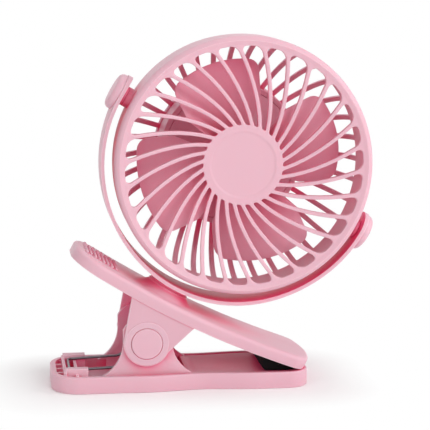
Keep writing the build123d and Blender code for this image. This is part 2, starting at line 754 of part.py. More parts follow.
def front_grille():
    """Ring, spiral ribs and sunken hub disc in one moulding."""
    front = HEAD_FRONT
    hub = front - HUB_DISH
    ring_inner = SLOT_OUTER + 0.8
    deep = FRONT_RIB_DEPTH
    lip = HEAD_RADIUS - HEAD_WALL - SLIP
    low = front - GRILLE_RIM_DEPTH
    profile = make_face(
        Curve()
        + [
            Line((0, hub), (SLOT_INNER - 2, hub)),
            Spline((SLOT_INNER - 2, hub), (ring_inner, front - 0.9), tangents=[(1, 0.02), (1, 0.12)]),
            ThreePointArc((ring_inner, front - 0.9), (HEAD_RADIUS - 2.6, front), (HEAD_RADIUS, front - 3.0)),
            Line((HEAD_RADIUS, front - 3.0), (HEAD_RADIUS, low + 1)),
            Line((HEAD_RADIUS, low + 1), (lip, low + 1)),
            Line((lip, low + 1), (lip, low - 1.5)),
            Line((lip, low - 1.5), (lip - 1.8, low - 1.5)),
            Line((lip - 1.8, low - 1.5), (lip - 1.8, front - 4.4)),
            Line((lip - 1.8, front - 4.4), (ring_inner, front - 0.9 - deep)),
            Spline(
                (ring_inner, front - 0.9 - deep), (SLOT_INNER - 2, hub - deep), tangents=[(-1, -0.12), (-1, -0.02)]
            ),
            Line((SLOT_INNER - 2, hub - deep), (0, hub - deep)),
            Line((0, hub - deep), (0, hub)),
        ]
    )
    body = revolve(Plane.XZ * profile, Axis.Z)
    cutter = Pos(0, 0, hub - 2 * deep) * extrude(grille_slot(), HUB_DISH + 4 * deep)
    body -= [Rot(0, 0, 360 * i / FRONT_RIBS) * cutter for i in range(FRONT_RIBS)]
    return HEAD * body


def rear_shell():
    """Barrel, rear ribs and pod tube, with a boss for each trunnion."""
    start = HEAD_FRONT - GRILLE_RIM_DEPTH + 1 - FACE_GAP
    back_ring = POD_RADIUS + REAR_RING_WIDTH
    inner = HEAD_RADIUS - HEAD_WALL
    end_z = sphere_height(POD_RADIUS)
    inner_z = sphere_height(POD_RADIUS, HEAD_WALL)
    middle = -0.5 * math.pi + 0.5 * math.acos(POD_RADIUS / HEAD_RADIUS)
    sphere = (0, HEAD_SPHERE_Z)
    outer_arc = arc_about(sphere, HEAD_RADIUS, (HEAD_RADIUS, HEAD_SPHERE_Z), (POD_RADIUS, end_z))
    inner_arc = arc_about(sphere, inner, (inner, HEAD_SPHERE_Z), (POD_RADIUS, inner_z))
    profile = make_face(
        Curve()
        + [
            Line((inner, start), (HEAD_RADIUS, start)),
            Line((HEAD_RADIUS, start), (HEAD_RADIUS, HEAD_SPHERE_Z)),
            outer_arc,
            Line((POD_RADIUS, end_z), (POD_RADIUS, inner_z)),
            inner_arc,
            Line((inner, HEAD_SPHERE_Z), (inner, start)),
        ]
    )
    body = revolve(Plane.XZ * profile, Axis.Z)
    for side in (-1, 1):
        boss_end = YOKE_SEAT - FACE_GAP - TRUNNION_WASHER - FACE_GAP
        body += trunnion_rod(TRUNNION_BOSS, inner + 0.3, boss_end, side)
        body -= trunnion_rod(TRUNNION_PIN_RADIUS, inner - 2, YOKE_INNER, side)
    body -= rear_slots(back_ring)
    pod_outer = POD_RADIUS + 0.8
    body += tube(pod_outer, POD_RADIUS - POD_WALL, inner_z + FACE_GAP, POD_FRONT)
    return HEAD * body


def arc_about(centre, radius, start, end):
    """The arc about a centre between two points on it."""
    middle = Vector(start[0] + end[0] - 2 * centre[0], start[1] + end[1] - 2 * centre[1]).normalized() * radius
    return ThreePointArc(start, (centre[0] + middle.X, centre[1] + middle.Y), end)


def rear_slots(inner):
    """Wedges between the rear ribs, from the pod's ring to the barrel."""
    half = math.radians(180 / REAR_RIBS)
    outer = HEAD_RADIUS + 3
    side = REAR_RIB / 2 / math.cos(half)
    corners = [
        (inner, -(inner * math.tan(half) - side)),
        (outer, -(outer * math.tan(half) - side)),
        (outer, outer * math.tan(half) - side),
        (inner, inner * math.tan(half) - side),
    ]
    wedge = Pos(0, 0, -HEAD_BACK - 5) * extrude(
        make_face(Polyline(*corners, close=True)), HEAD_BACK + 5 - REAR_SLOT_START
    )
    turn = 360 / REAR_RIBS
    return [Rot(0, 0, turn * (i + 0.5)) * wedge for i in range(REAR_RIBS)]


def cover_profile():
    """Half section of the rear cover: dome edge, flat back and a plug ring."""
    edge = POD_RADIUS - SLIP
    outer = HEAD_RADIUS
    edge_z = sphere_height(edge)
    flat = math.sqrt(outer**2 - (HEAD_BACK - BARREL_END) ** 2)
    inner_flat = math.sqrt((outer - COVER_WALL) ** 2 - (HEAD_BACK - COVER_WALL - BARREL_END) ** 2)
    edge_in = sphere_height(edge, COVER_WALL)
    sphere = (0, HEAD_SPHERE_Z)
    return make_face(
        Curve()
        + [
            arc_about(sphere, outer, (edge, edge_z), (flat, -HEAD_BACK)),
            Line((flat, -HEAD_BACK), (0, -HEAD_BACK)),
            Line((0, -HEAD_BACK), (0, -HEAD_BACK + COVER_WALL)),
            Line((0, -HEAD_BACK + COVER_WALL), (inner_flat, -HEAD_BACK + COVER_WALL)),
            arc_about(sphere, outer - COVER_WALL, (inner_flat, -HEAD_BACK + COVER_WALL), (edge, edge_in)),
            Line((edge, edge_in), (edge, edge_z)),
        ]
    )


COVER_SCREW_ANGLES = (90, 210, 330)
COVER_SCREW_HEAD = 2.7
COVER_SCREW_SHANK = 1.4
COVER_SCREW_SINK = 0.95
COVER_POST_RADIUS = 3.2


def rear_cover():
    """Domed cover that closes the pod, with holes for button, light, socket and screws."""
    body = revolve(Plane.XZ * cover_profile(), Axis.Z)
    plug = POD_RADIUS - POD_WALL - SLIP
    seat = sphere_height(plug, COVER_WALL)
    body += tube(plug, plug - 1.8, seat - 0.6, seat + COVER_STEP)
    for x in (-1, 1):
        for y in (-1, 1):
            corner_x = x * (BOARD_LENGTH / 2 - 3)
            corner_y = y * (BOARD_WIDTH / 2 - 3)
            body += disc(2.0, -HEAD_BACK + COVER_WALL - 0.4, BOARD_BACK, corner_x, corner_y)
    body -= disc(BUTTON_RADIUS + SLIP, -HEAD_BACK - 1, -HEAD_BACK + COVER_WALL + 1)
    body -= disc(LIGHT_RADIUS + 0.05, -HEAD_BACK - 1, -HEAD_BACK + COVER_WALL + 1, -CONTROL_OFFSET)
    socket = RectangleRounded(SOCKET_WIDTH + SLIP, SOCKET_HEIGHT + SLIP, SOCKET_HEIGHT / 2)
    body -= Pos(CONTROL_OFFSET, 0, -HEAD_BACK - 1) * extrude(Rot(0, 0, 90) * socket, COVER_WALL + 2)
    for x, y in screw_places():
        low = sphere_height(COVER_SCREW_RING)
        body -= disc(COVER_SCREW_SHANK + SLIP, low - 6, low + 8, x, y)
        body -= disc(COVER_SCREW_HEAD + SLIP, low - 6, low + COVER_SCREW_SINK, x, y)
    return HEAD * body


def screw_places():
    """Where the cover's screws stand, in the head's frame."""
    turns = [math.radians(a) for a in COVER_SCREW_ANGLES]
    return [(COVER_SCREW_RING * math.cos(a), COVER_SCREW_RING * math.sin(a)) for a in turns]


def cover_screws():
    """Screws that hold the cover to the bracket's posts."""
    screws = []
    low = sphere_height(COVER_SCREW_RING)
    for x, y in screw_places():
        screw = disc(COVER_SCREW_HEAD, low, low + COVER_SCREW_SINK - 0.05, x, y)
        screw += disc(COVER_SCREW_SHANK, low, low + COVER_SCREW_LENGTH, x, y)
        screw -= Pos(x, y, low) * (Box(3.2, 0.6, 0.9) + Box(0.6, 3.2, 0.9))
        screws.append(HEAD * screw)
    return Compound(children=screws)


def motor_bracket():
    """Plate that closes the pod's front, with motor collar, cell saddles and screw posts."""
    inner = POD_RADIUS - POD_WALL - SLIP
    body = disc(inner, POD_FRONT - POD_FLOOR, POD_FRONT)
    grip = MOTOR_RADIUS + FACE_GAP
    body += tube(grip + COLLAR_WALL, grip, POD_FRONT - 0.2, POD_FRONT + MOTOR_COLLAR)
    back = POD_FRONT - POD_FLOOR
    for x in (-SADDLE_X, SADDLE_X):
        saddle = Pos(x, 0, back - SADDLE_HEIGHT / 2 + 0.2) * Box(2.4, 2 * CELL_RADIUS + 5, SADDLE_HEIGHT)
        body += saddle
    body -= rod(CELL_RADIUS + FACE_GAP, (-CELL_LENGTH, 0, CELL_Z), (CELL_LENGTH, 0, CELL_Z))
    post_end = sphere_height(COVER_SCREW_RING + COVER_POST_RADIUS, COVER_WALL) + FACE_GAP
    for x, y in screw_places():
        body += disc(COVER_POST_RADIUS, post_end, back + 0.2, x, y)
        body -= disc(COVER_SCREW_SHANK, post_end - 1, post_end + COVER_SCREW_LENGTH, x, y)
    body -= disc(1.2, back - 1, POD_FRONT + 1, 0, MOTOR_RADIUS - 4)
    body -= disc(1.2, back - 1, POD_FRONT + 1, 0, 4 - MOTOR_RADIUS)
    return HEAD * body


MOTOR_BACK = POD_FRONT + 0.02
MOTOR_FRONT = MOTOR_BACK + MOTOR_CAP + MOTOR_LENGTH


def motor_can():
    """Steel motor can with a stepped nose."""
    body = disc(MOTOR_RADIUS, MOTOR_BACK + MOTOR_CAP, MOTOR_FRONT)
    body = fillet(body.edges().group_by(Axis.Z)[-1], 1.2)
    body -= disc(MOTOR_RADIUS - 1.0, MOTOR_BACK, MOTOR_FRONT - 1.2)
    return HEAD * (body - disc(BUSH_RADIUS, MOTOR_FRONT - 2, MOTOR_FRONT + 1))


def motor_end_cap():
    """Plastic cap at the motor's back."""
    cap = disc(MOTOR_RADIUS, MOTOR_BACK, MOTOR_BACK + MOTOR_CAP)
    cap += disc(MOTOR_RADIUS - 1.0 - SLIP, MOTOR_BACK + MOTOR_CAP, MOTOR_BACK + MOTOR_CAP + 2)
    return HEAD * (cap - disc(SHAFT_RADIUS + RUNNING, MOTOR_BACK + 1, MOTOR_BACK + MOTOR_CAP + 3))


def motor_bush():
    """Bronze bearing bush in the can's nose."""
    ring = tube(BUSH_RADIUS, SHAFT_RADIUS + RUNNING, MOTOR_FRONT - 1.2, MOTOR_FRONT + BUSH_HEIGHT)
    return HEAD * ring


def motor_shaft():
    """Steel shaft with its rotor, from the end cap to the impeller."""
    shaft = disc(SHAFT_RADIUS, MOTOR_BACK + 1.2, HUB_FRONT - HUB_WALL - MOVING)
    rotor = disc(MOTOR_RADIUS - 1.0 - ROTOR_GAP, MOTOR_BACK + MOTOR_CAP + 4, MOTOR_FRONT - 4)
    return HEAD * (shaft + rotor)


def battery_cell():
    """Round cell across the pod."""
    half = CELL_LENGTH / 2
    cell = rod(CELL_RADIUS, (-half, 0, CELL_Z), (half, 0, CELL_Z))
    cell = fillet(cell.edges(), 0.8)
    return HEAD * (cell + rod(2.6, (half - 0.5, 0, CELL_Z), (half + CELL_NIPPLE, 0, CELL_Z)))


def battery_contacts():
    """Two nickel contact plates at the cell's ends."""
    half = CELL_LENGTH / 2
    away = FACE_GAP + CONTACT_SHEET / 2
    sheet = Box(CONTACT_SHEET, CONTACT_WIDTH, CONTACT_HEIGHT)
    minus = Pos(-half - away, 0, CELL_Z) * sheet
    plus = Pos(half + CELL_NIPPLE + away, 0, CELL_Z) * sheet
    return Compound(children=[HEAD * minus, HEAD * plus])


def lead(points, radius):
    """One insulated wire along straight runs joined by arcs."""
    path = FilletPolyline(*points, radius=radius)
    section = Plane(origin=path @ 0, z_dir=path % 0) * Circle(LEAD_WIRE)
    return sweep(section, path=path)


def battery_leads():
    """Wires from the contacts to the board."""
    leads = []
    half = CELL_LENGTH / 2
    sheet = CONTACT_SHEET + 2 * FACE_GAP + LEAD_WIRE
    for side, face in ((-1, half), (1, half + CELL_NIPPLE)):
        contact = (side * (face + sheet), 0, CELL_Z - 2)
        shoulder = (side * (face + sheet), 0, CELL_Z - LEAD_SIDE)
        under = (side * (half - 0.4), 0, CELL_Z - LEAD_UNDER)
        board = (side * (BOARD_LENGTH / 2 - 4), 0, CELL_Z - LEAD_UNDER)
        down = (side * (BOARD_LENGTH / 2 - 4), 0, BOARD_BACK + BOARD_THICK + 0.05)
        leads.append(HEAD * lead([contact, shoulder, under, board, down], 0.9))
    return Compound(children=leads)


def motor_leads():
    """Wires from the motor's back through the bracket to the board."""
    leads = []
    for side in (-1, 1):
        y = side * (MOTOR_RADIUS - 4)
        start = (0, y, MOTOR_BACK - 0.05)
        turn = (0, y, POD_FRONT - POD_FLOOR - 0.9)
        over = (0, side * (CELL_RADIUS + 2.2), POD_FRONT - POD_FLOOR - 0.9)
        end = (0, side * (CELL_RADIUS + 2.2), BOARD_BACK + BOARD_THICK + 0.05)
        leads.append(HEAD * lead([start, turn, over, end], 0.75))
    return Compound(children=leads)


def circuit_board():
    """Control board on the cover's posts."""
    board = Pos(0, 0, BOARD_BACK + 0.02) * extrude(Rectangle(BOARD_LENGTH, BOARD_WIDTH), BOARD_THICK)
    board += disc(3.0, BOARD_BACK - 0.6, BOARD_BACK + 0.1)
    chip = Pos(7, 7, BOARD_BACK + BOARD_THICK) * Box(5, 5, 1.6)
    return HEAD * (board + chip)


def speed_button():
    """Round push button in the cover's flat back."""
    top = -HEAD_BACK - BUTTON_RISE
    low = -HEAD_BACK + COVER_WALL
    body = disc(BUTTON_RADIUS, top, low + 0.05)
    body = fillet(body.edges().group_by(Axis.Z)[0], 0.6)
    flange_low = low + 0.05
    body += disc(BUTTON_RADIUS + 1.2, flange_low, flange_low + 0.7)
    return HEAD * body


def charge_light():
    """Clear light pipe beside the button."""
    pipe = disc(LIGHT_RADIUS, -HEAD_BACK - 0.2, BOARD_BACK - 0.05, -CONTROL_OFFSET)
    return HEAD * fillet(pipe.edges().group_by(Axis.Z)[0], 0.15)


def charge_socket():
    """Steel shell of the charging socket, standing on the board."""
    outer = Rot(0, 0, 90) * RectangleRounded(SOCKET_WIDTH, SOCKET_HEIGHT, SOCKET_HEIGHT / 2 - 0.05)
    inner_h = SOCKET_HEIGHT - 2 * SOCKET_WALL
    inner = Rot(0, 0, 90) * RectangleRounded(SOCKET_WIDTH - 2 * SOCKET_WALL, inner_h, inner_h / 2 - 0.05)
    low = -HEAD_BACK + 0.3
    shell = extrude(outer, BOARD_BACK - low) - Pos(0, 0, -1) * extrude(inner, BOARD_BACK - low)
    tongue = extrude(Rot(0, 0, 90) * Rectangle(SOCKET_WIDTH - 3, 0.7), BOARD_BACK - low - 1.5)
    return HEAD * (Pos(CONTROL_OFFSET, 0, low) * (shell + Pos(0, 0, 1.2) * tongue))


# ---------------------------------------------------------------- impeller
def blade():
    """One broad twisted blade, cut to its petal outline."""
    sections = []
    for radius, pitch in ((HUB_RADIUS - 5, BLADE_ROOT_PITCH), (BLADE_TIP + 3, BLADE_TIP_PITCH)):
        half = 0.73 * BLADE_TIP
        lean = math.radians(pitch)
        bow = BLADE_BOW
        along = (0, math.cos(lean), math.sin(lean))
        plane = Plane(origin=(radius, 0, BLADE_MIDDLE), x_dir=along, z_dir=(1, 0, 0))
        strip = make_face(
            Curve()
            + [
                ThreePointArc((-half, -bow), (0, bow), (half, -bow)),
                Line((half, -bow), (half, -bow - BLADE_THICK)),
                ThreePointArc((half, -bow - BLADE_THICK), (0, bow - BLADE_THICK), (-half, -bow - BLADE_THICK)),
                Line((-half, -bow - BLADE_THICK), (-half, -bow)),
            ]
        )
        sections.append(plane * strip)
    sheet = loft(sections)
    petal = Pos(0, 0, -HUB_HEIGHT - 8) * extrude(petal_outline(), 2 * HUB_HEIGHT + 16)
    return sheet & petal


def petal_outline():
    """A blade seen from the front, with round outer corners."""
    tip = math.radians(27.5)
    wide = math.radians(36.0)
    shoulder = 0.68 * BLADE_TIP
    root = HUB_RADIUS - 0.6
    low = [
        (root * math.cos(wide), -root * math.sin(wide)),
        (shoulder * math.cos(wide), -shoulder * math.sin(wide)),
        (BLADE_TIP * math.cos(tip), -BLADE_TIP * math.sin(tip)),
    ]
    high = [(x, -y) for x, y in low]
    face = make_face(
        Curve()
        + [
            Line(low[0], low[1]),
            Line(low[1], low[2]),
            ThreePointArc(low[2], (BLADE_TIP, 0), high[2]),
            Line(high[2], high[1]),
            Line(high[1], high[0]),
            Line(high[0], low[0]),
        ]
    )
    corners = face.vertices().filter_by(lambda v: v.X > root)
    return fillet(corners, BLADE_CORNER)


def impeller():
    """Hub cup with its blades."""
    low = HUB_FRONT - HUB_HEIGHT
    body = fillet(disc(HUB_RADIUS, low, HUB_FRONT).edges().group_by(Axis.Z)[-1], 2.5)
    body -= disc(HUB_RADIUS - HUB_WALL, low - 1, HUB_FRONT - HUB_WALL)
    body += disc(3.4, MOTOR_FRONT + BUSH_HEIGHT + MOVING, HUB_FRONT - 0.5)
    core = disc(HUB_RADIUS - HUB_WALL / 2, low - 20, HUB_FRONT + 20)
    for i in range(BLADES):
        body += Rot(0, 0, BLADE_PHASE + 360 * i / BLADES) * (blade() - core)
    body -= disc(SHAFT_RADIUS, MOTOR_BACK, HUB_FRONT - HUB_WALL)
    return HEAD * body


# ---------------------------------------------------------------- write every sub-part
if __name__ == "__main__":
    save("lower_jaw", lower_jaw())
    save("upper_jaw", upper_jaw())
    save("jaw_pad", jaw_pad())
    save("pivot_pin", pivot_pin())
    save("pivot_cap_front", pivot_cap(-1))
    save("pivot_cap_rear", pivot_cap(1))
    save("torsion_spring", torsion_spring())
    save("swivel_collar", swivel_collar())
    save("swivel_washer", swivel_washer())
    save("swivel_screw", swivel_screw())
    save("yoke", yoke())
    save("trunnion_cap_left", trunnion_cap(-1))
    save("trunnion_cap_right", trunnion_cap(1))
    save("trunnion_washer_left", trunnion_washer(-1))
    save("trunnion_washer_right", trunnion_washer(1))
    save("trunnion_pins", trunnion_pins())
    save("front_grille", front_grille())
    save("rear_shell", rear_shell())
    save("rear_cover", rear_cover())
    save("cover_screws", cover_screws())
    save("motor_bracket", motor_bracket())
    save("motor_can", motor_can())
    save("motor_end_cap", motor_end_cap())
    save("motor_bush", motor_bush())
    save("motor_shaft", motor_shaft())
    save("battery_cell", battery_cell())
    save("battery_contacts", battery_contacts())
    save("battery_leads", battery_leads())
    save("motor_leads", motor_leads())
    save("circuit_board", circuit_board())
    save("speed_button", speed_button())
    save("charge_light", charge_light())
    save("charge_socket", charge_socket())
    save("impeller", impeller())
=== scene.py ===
"""Clip fan: the looks of its parts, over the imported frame.

Everything is in metres, in the frame's own axes: the origin is the centre of the clip's
underside, +X runs from grip to jaw tip, +Z is up and the fan faces -Y at rest. Only the fields
of the sub-assemblies, the outlines that lathe turns, LEVER_ARCH and the camera's place are in
millimetres.
"""

from __future__ import annotations

import json
import logging
import math
from dataclasses import dataclass
from enum import Enum
from typing import Callable, Iterable, Sequence

import bmesh
import bpy
from mathutils import Matrix, Vector


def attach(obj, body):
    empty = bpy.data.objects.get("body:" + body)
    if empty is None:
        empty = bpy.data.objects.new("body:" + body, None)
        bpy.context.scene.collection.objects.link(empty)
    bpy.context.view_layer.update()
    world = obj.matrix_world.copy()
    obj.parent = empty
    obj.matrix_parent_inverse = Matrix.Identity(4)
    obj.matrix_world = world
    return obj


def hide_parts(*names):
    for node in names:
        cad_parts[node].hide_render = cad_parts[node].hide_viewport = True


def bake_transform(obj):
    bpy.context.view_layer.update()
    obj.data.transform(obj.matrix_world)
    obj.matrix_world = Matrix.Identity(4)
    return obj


LOG = logging.getLogger("clip_fan")
MM = 0.001
Colour = tuple[float, float, float, float]
Outline = Sequence[tuple[float, float]]

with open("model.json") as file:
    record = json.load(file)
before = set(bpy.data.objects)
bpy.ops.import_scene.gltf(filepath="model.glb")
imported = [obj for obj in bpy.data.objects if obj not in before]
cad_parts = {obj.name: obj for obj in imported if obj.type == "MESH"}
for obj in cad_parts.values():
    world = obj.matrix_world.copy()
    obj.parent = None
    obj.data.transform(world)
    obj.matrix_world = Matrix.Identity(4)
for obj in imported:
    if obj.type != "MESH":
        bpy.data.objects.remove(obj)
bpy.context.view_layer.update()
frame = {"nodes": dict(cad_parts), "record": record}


# ---------------------------------------------------------------------------- shader maths
class Graph:
    """A node tree under construction, with one method that makes a node of any type."""

    def __init__(self, tree: bpy.types.NodeTree) -> None:
        """Keeps the tree that grows."""
        self.tree = tree

    def node(
        self,
        kind: str,
        settings: dict[str, object] | None = None,
        inputs: dict[str | int, object] | None = None,
        output: str | int = 0,
    ) -> Value:
        """Adds one node.

        Args:
            kind: The node's type name.
            settings: Properties that are set before the inputs.
            inputs: Numbers, colours or links by socket name or index.
            output: The output socket that is returned.

        Returns:
            The wrapped output socket.
        """
        made = self.tree.nodes.new(kind)
        for key, value in (settings or {}).items():
            setattr(made, key, value)
        for key, value in (inputs or {}).items():
            self.feed(made.inputs[key], value)
        return Value(self, made.outputs[output])

    def feed(self, socket: bpy.types.NodeSocket, value: object) -> None:
        """Links a wrapped socket to an input, or sets the input's own value.

        Args:
            socket: The input.
            value: A wrapped socket, a number or a colour.
        """
        if isinstance(value, Value):
            self.tree.links.new(value.socket, socket)
        else:
            socket.default_value = value

    def vector(self, operation: str, *values: object, output: str | int = 0) -> Value:
        """Adds one vector maths node on the values."""
        inputs = dict(enumerate(values))
        return self.node("ShaderNodeVectorMath", {"operation": operation}, inputs, output)

    def end(self, kind: str, value: Value, socket: str | int = "Surface") -> None:
        """Links a value into the tree's last node."""
        self.feed(self.tree.nodes.new(kind).inputs[socket], value)


class Shader(Graph):
    """A material's nodes."""

    def __init__(self, name: str) -> None:
        """Starts an empty material.

        Args:
            name: The material's name.
        """
        self.material = bpy.data.materials.new(name)
        self.material.use_nodes = True
        super().__init__(self.material.node_tree)
        self.tree.nodes.clear()

    def ramp(self, factor: Value, *stops: tuple[float, float]) -> Value:
        """Turns a value into another one along a straight line between two stops.

        Args:
            factor: The value that is looked up.
            stops: Two pairs of place and grey level.

        Returns:
            The grey level at the factor.
        """
        made = self.tree.nodes.new("ShaderNodeValToRGB")
        for element, (place, level) in zip(made.color_ramp.elements, stops):
            element.position = place
            element.color = (level, level, level, 1.0)
        self.feed(made.inputs[0], factor)
        return Value(self, made.outputs[0])

    def place(self) -> Value:
        """The point in the piece's own frame, in metres."""
        return self.node("ShaderNodeTexCoord", output="Object")

    def noise(self, scale: float, detail: float = 2.0, place: Value | None = None) -> Value:
        """Smooth noise around a half, with its waves per metre and its octaves."""
        inputs = {"Vector": place or self.place(), "Scale": scale, "Detail": detail}
        return self.node("ShaderNodeTexNoise", inputs=inputs)

    def mix_colour(self, share: object, first: object, second: object) -> Value:
        """Blends two colours by a share."""
        inputs = {0: share, 6: first, 7: second}
        return self.node("ShaderNodeMix", {"data_type": "RGBA"}, inputs, output=2)

    def bump(self, height: Value, distance: float, edge: float = 0.0) -> Value:
        """A surface normal from a height, over edges that are rounded by a radius.

        Args:
            height: The relief's share.
            distance: The relief's depth, in metres.
            edge: The radius that the light sees on sharp edges, in metres.

        Returns:
            The normal.
        """
        inputs: dict[str | int, object] = {"Height": height, "Distance": distance}
        if edge > 0.0:
            inputs["Normal"] = self.node("ShaderNodeBevel", {"samples": 4}, {"Radius": edge})
        return self.node("ShaderNodeBump", inputs=inputs)

    def surface(self, inputs: dict[str, object]) -> bpy.types.Material:
        """Ends the tree in one principled surface with these values or links."""
        self.end("ShaderNodeOutputMaterial", self.node("ShaderNodeBsdfPrincipled", inputs=inputs))
        return self.material


def sign(operation: str, swapped: bool = False) -> Callable[[Value, object], Value]:
    """The method behind one sign of arithmetic.

    Args:
        operation: The maths node's operation.
        swapped: True where the value stands to the right of the sign.

    Returns:
        The method, which adds the node and returns its value.
    """

    def method(value: Value, other: object) -> Value:
        """Adds the node."""
        return value.maths(operation, *((other, value) if swapped else (value, other)))

    return method


class Value:
    """One socket, so that shader maths reads as plain expressions."""

    __add__ = sign("ADD")
    __sub__ = sign("SUBTRACT")
    __rsub__ = sign("SUBTRACT", swapped=True)
    __mul__ = sign("MULTIPLY")
    __truediv__ = sign("DIVIDE")

    def __init__(self, graph: Graph, socket: bpy.types.NodeSocket) -> None:
        """Keeps the socket and the graph it belongs to."""
        self.graph = graph
        self.socket = socket

    def maths(self, operation: str, *values: object) -> Value:
        """Adds one maths node."""
        inputs = dict(enumerate(values))
        return self.graph.node("ShaderNodeMath", {"operation": operation}, inputs)

    def clamp(self) -> Value:
        """The value held between nought and one."""
        return self.graph.node("ShaderNodeClamp", inputs={"Value": self})

    def root(self) -> Value:
        """The square root."""
        return self.maths("SQRT", self)

    def floor(self) -> Value:
        """The whole number below."""
        return self.maths("FLOOR", self)


# ---------------------------------------------------------------------------- grown shapes
class Growth(Graph):
    """A Geometry Nodes tree with named sizes, which ends as one plain mesh."""

    def __init__(self, name: str, sizes: dict[str, float | int]) -> None:
        """Starts a tree.

        Args:
            name: The tree's name.
            sizes: Its named inputs; whole numbers become integer inputs.
        """
        tree = bpy.data.node_groups.new(name, "GeometryNodeTree")
        face = tree.interface
        face.new_socket("Geometry", in_out="OUTPUT", socket_type="NodeSocketGeometry")
        face.new_socket("Stock", in_out="INPUT", socket_type="NodeSocketGeometry")
        self.identifiers: dict[str, str] = {}
        self.sizes = sizes
        for label, value in sizes.items():
            kind = "NodeSocketInt" if isinstance(value, int) else "NodeSocketFloat"
            socket = face.new_socket(label, in_out="INPUT", socket_type=kind)
            self.identifiers[label] = socket.identifier
        finish = face.new_socket("Finish", in_out="INPUT", socket_type="NodeSocketMaterial")
        self.identifiers["Finish"] = finish.identifier
        super().__init__(tree)
        self.entry = tree.nodes.new("NodeGroupInput")

    def size(self, label: str) -> Value:
        """One of the tree's named inputs."""
        return Value(self, self.entry.outputs[label])

    def point(self, x: object, y: object, z: object) -> Value:
        """A vector put together from three values."""
        return self.node("ShaderNodeCombineXYZ", inputs={0: x, 1: y, 2: z})

    def index_copies(self, stock: Value, amount: object) -> tuple[Value, Value]:
        """Repeats a mesh as numbered instances.

        Args:
            stock: The mesh.
            amount: How many there are.

        Returns:
            The instances and each one's number.
        """
        whole = self.node("GeometryNodeGeometryToInstance", inputs={"Geometry": stock})
        made = self.tree.nodes.new("GeometryNodeDuplicateElements")
        made.domain = "INSTANCE"
        self.feed(made.inputs["Geometry"], whole)
        self.feed(made.inputs["Amount"], amount)
        return Value(self, made.outputs["Geometry"]), Value(self, made.outputs["Duplicate Index"])

    def grow(
        self,
        name: str,
        geometry: Value,
        finish: bpy.types.Material,
        stock: bpy.types.Mesh | None = None,
    ) -> bpy.types.Mesh:
        """Runs the tree once and keeps the result as a plain mesh.

        Args:
            name: The mesh's name.
            geometry: What the tree makes.
            finish: The material it ends with.
            stock: A mesh that the tree starts from, where it needs one.

        Returns:
            The mesh.
        """
        real = self.node("GeometryNodeRealizeInstances", inputs={"Geometry": geometry})
        inputs = {"Geometry": real, "Material": self.size("Finish")}
        self.end("NodeGroupOutput", self.node("GeometryNodeSetMaterial", inputs=inputs), 0)
        holder = linked(name, stock or bpy.data.meshes.new(name))
        modifier = holder.modifiers.new("growth", "NODES")
        modifier.node_group = self.tree
        for label, value in self.sizes.items():
            modifier[self.identifiers[label]] = value
        modifier[self.identifiers["Finish"]] = finish
        return evaluated(holder)


def linked(name: str, data: bpy.types.ID) -> bpy.types.Object:
    """A new object with this data, linked into the scene.

    Args:
        name: The object's name.
        data: Its mesh, curve, lamp or camera.

    Returns:
        The object.
    """
    made = bpy.data.objects.new(name, data)
    bpy.context.scene.collection.objects.link(made)
    return made


def evaluated(holder: bpy.types.Object) -> bpy.types.Mesh:
    """The finished mesh of an object, which is then removed.

    Args:
        holder: A curve, or a mesh with modifiers.

    Returns:
        The mesh.
    """
    graph = bpy.context.evaluated_depsgraph_get()
    mesh = bpy.data.meshes.new_from_object(holder.evaluated_get(graph))
    bpy.data.objects.remove(holder)
    return mesh


# ---------------------------------------------------------------------------- finishes
def linear(*levels: int) -> Colour:
    """A screen colour as the shader's linear colour.

    Args:
        levels: Red, green and blue, from 0 to 255.

    Returns:
        Red, green, blue and alpha.
    """
    shares = [level / 255.0 for level in levels]
    curved = [s / 12.92 if s <= 0.04045 else ((s + 0.055) / 1.055) ** 2.4 for s in shares]
    return (*curved, 1.0)


@dataclass(frozen=True)
class Finish:
    """What every finish has: its name, which is its slot's name too, and its colour."""

    name: str
    colour: Colour

    def darker(self, share: float) -> Colour:
        """The finish's colour at a share of its light."""
        return (*(level * share for level in self.colour[:3]), 1.0)


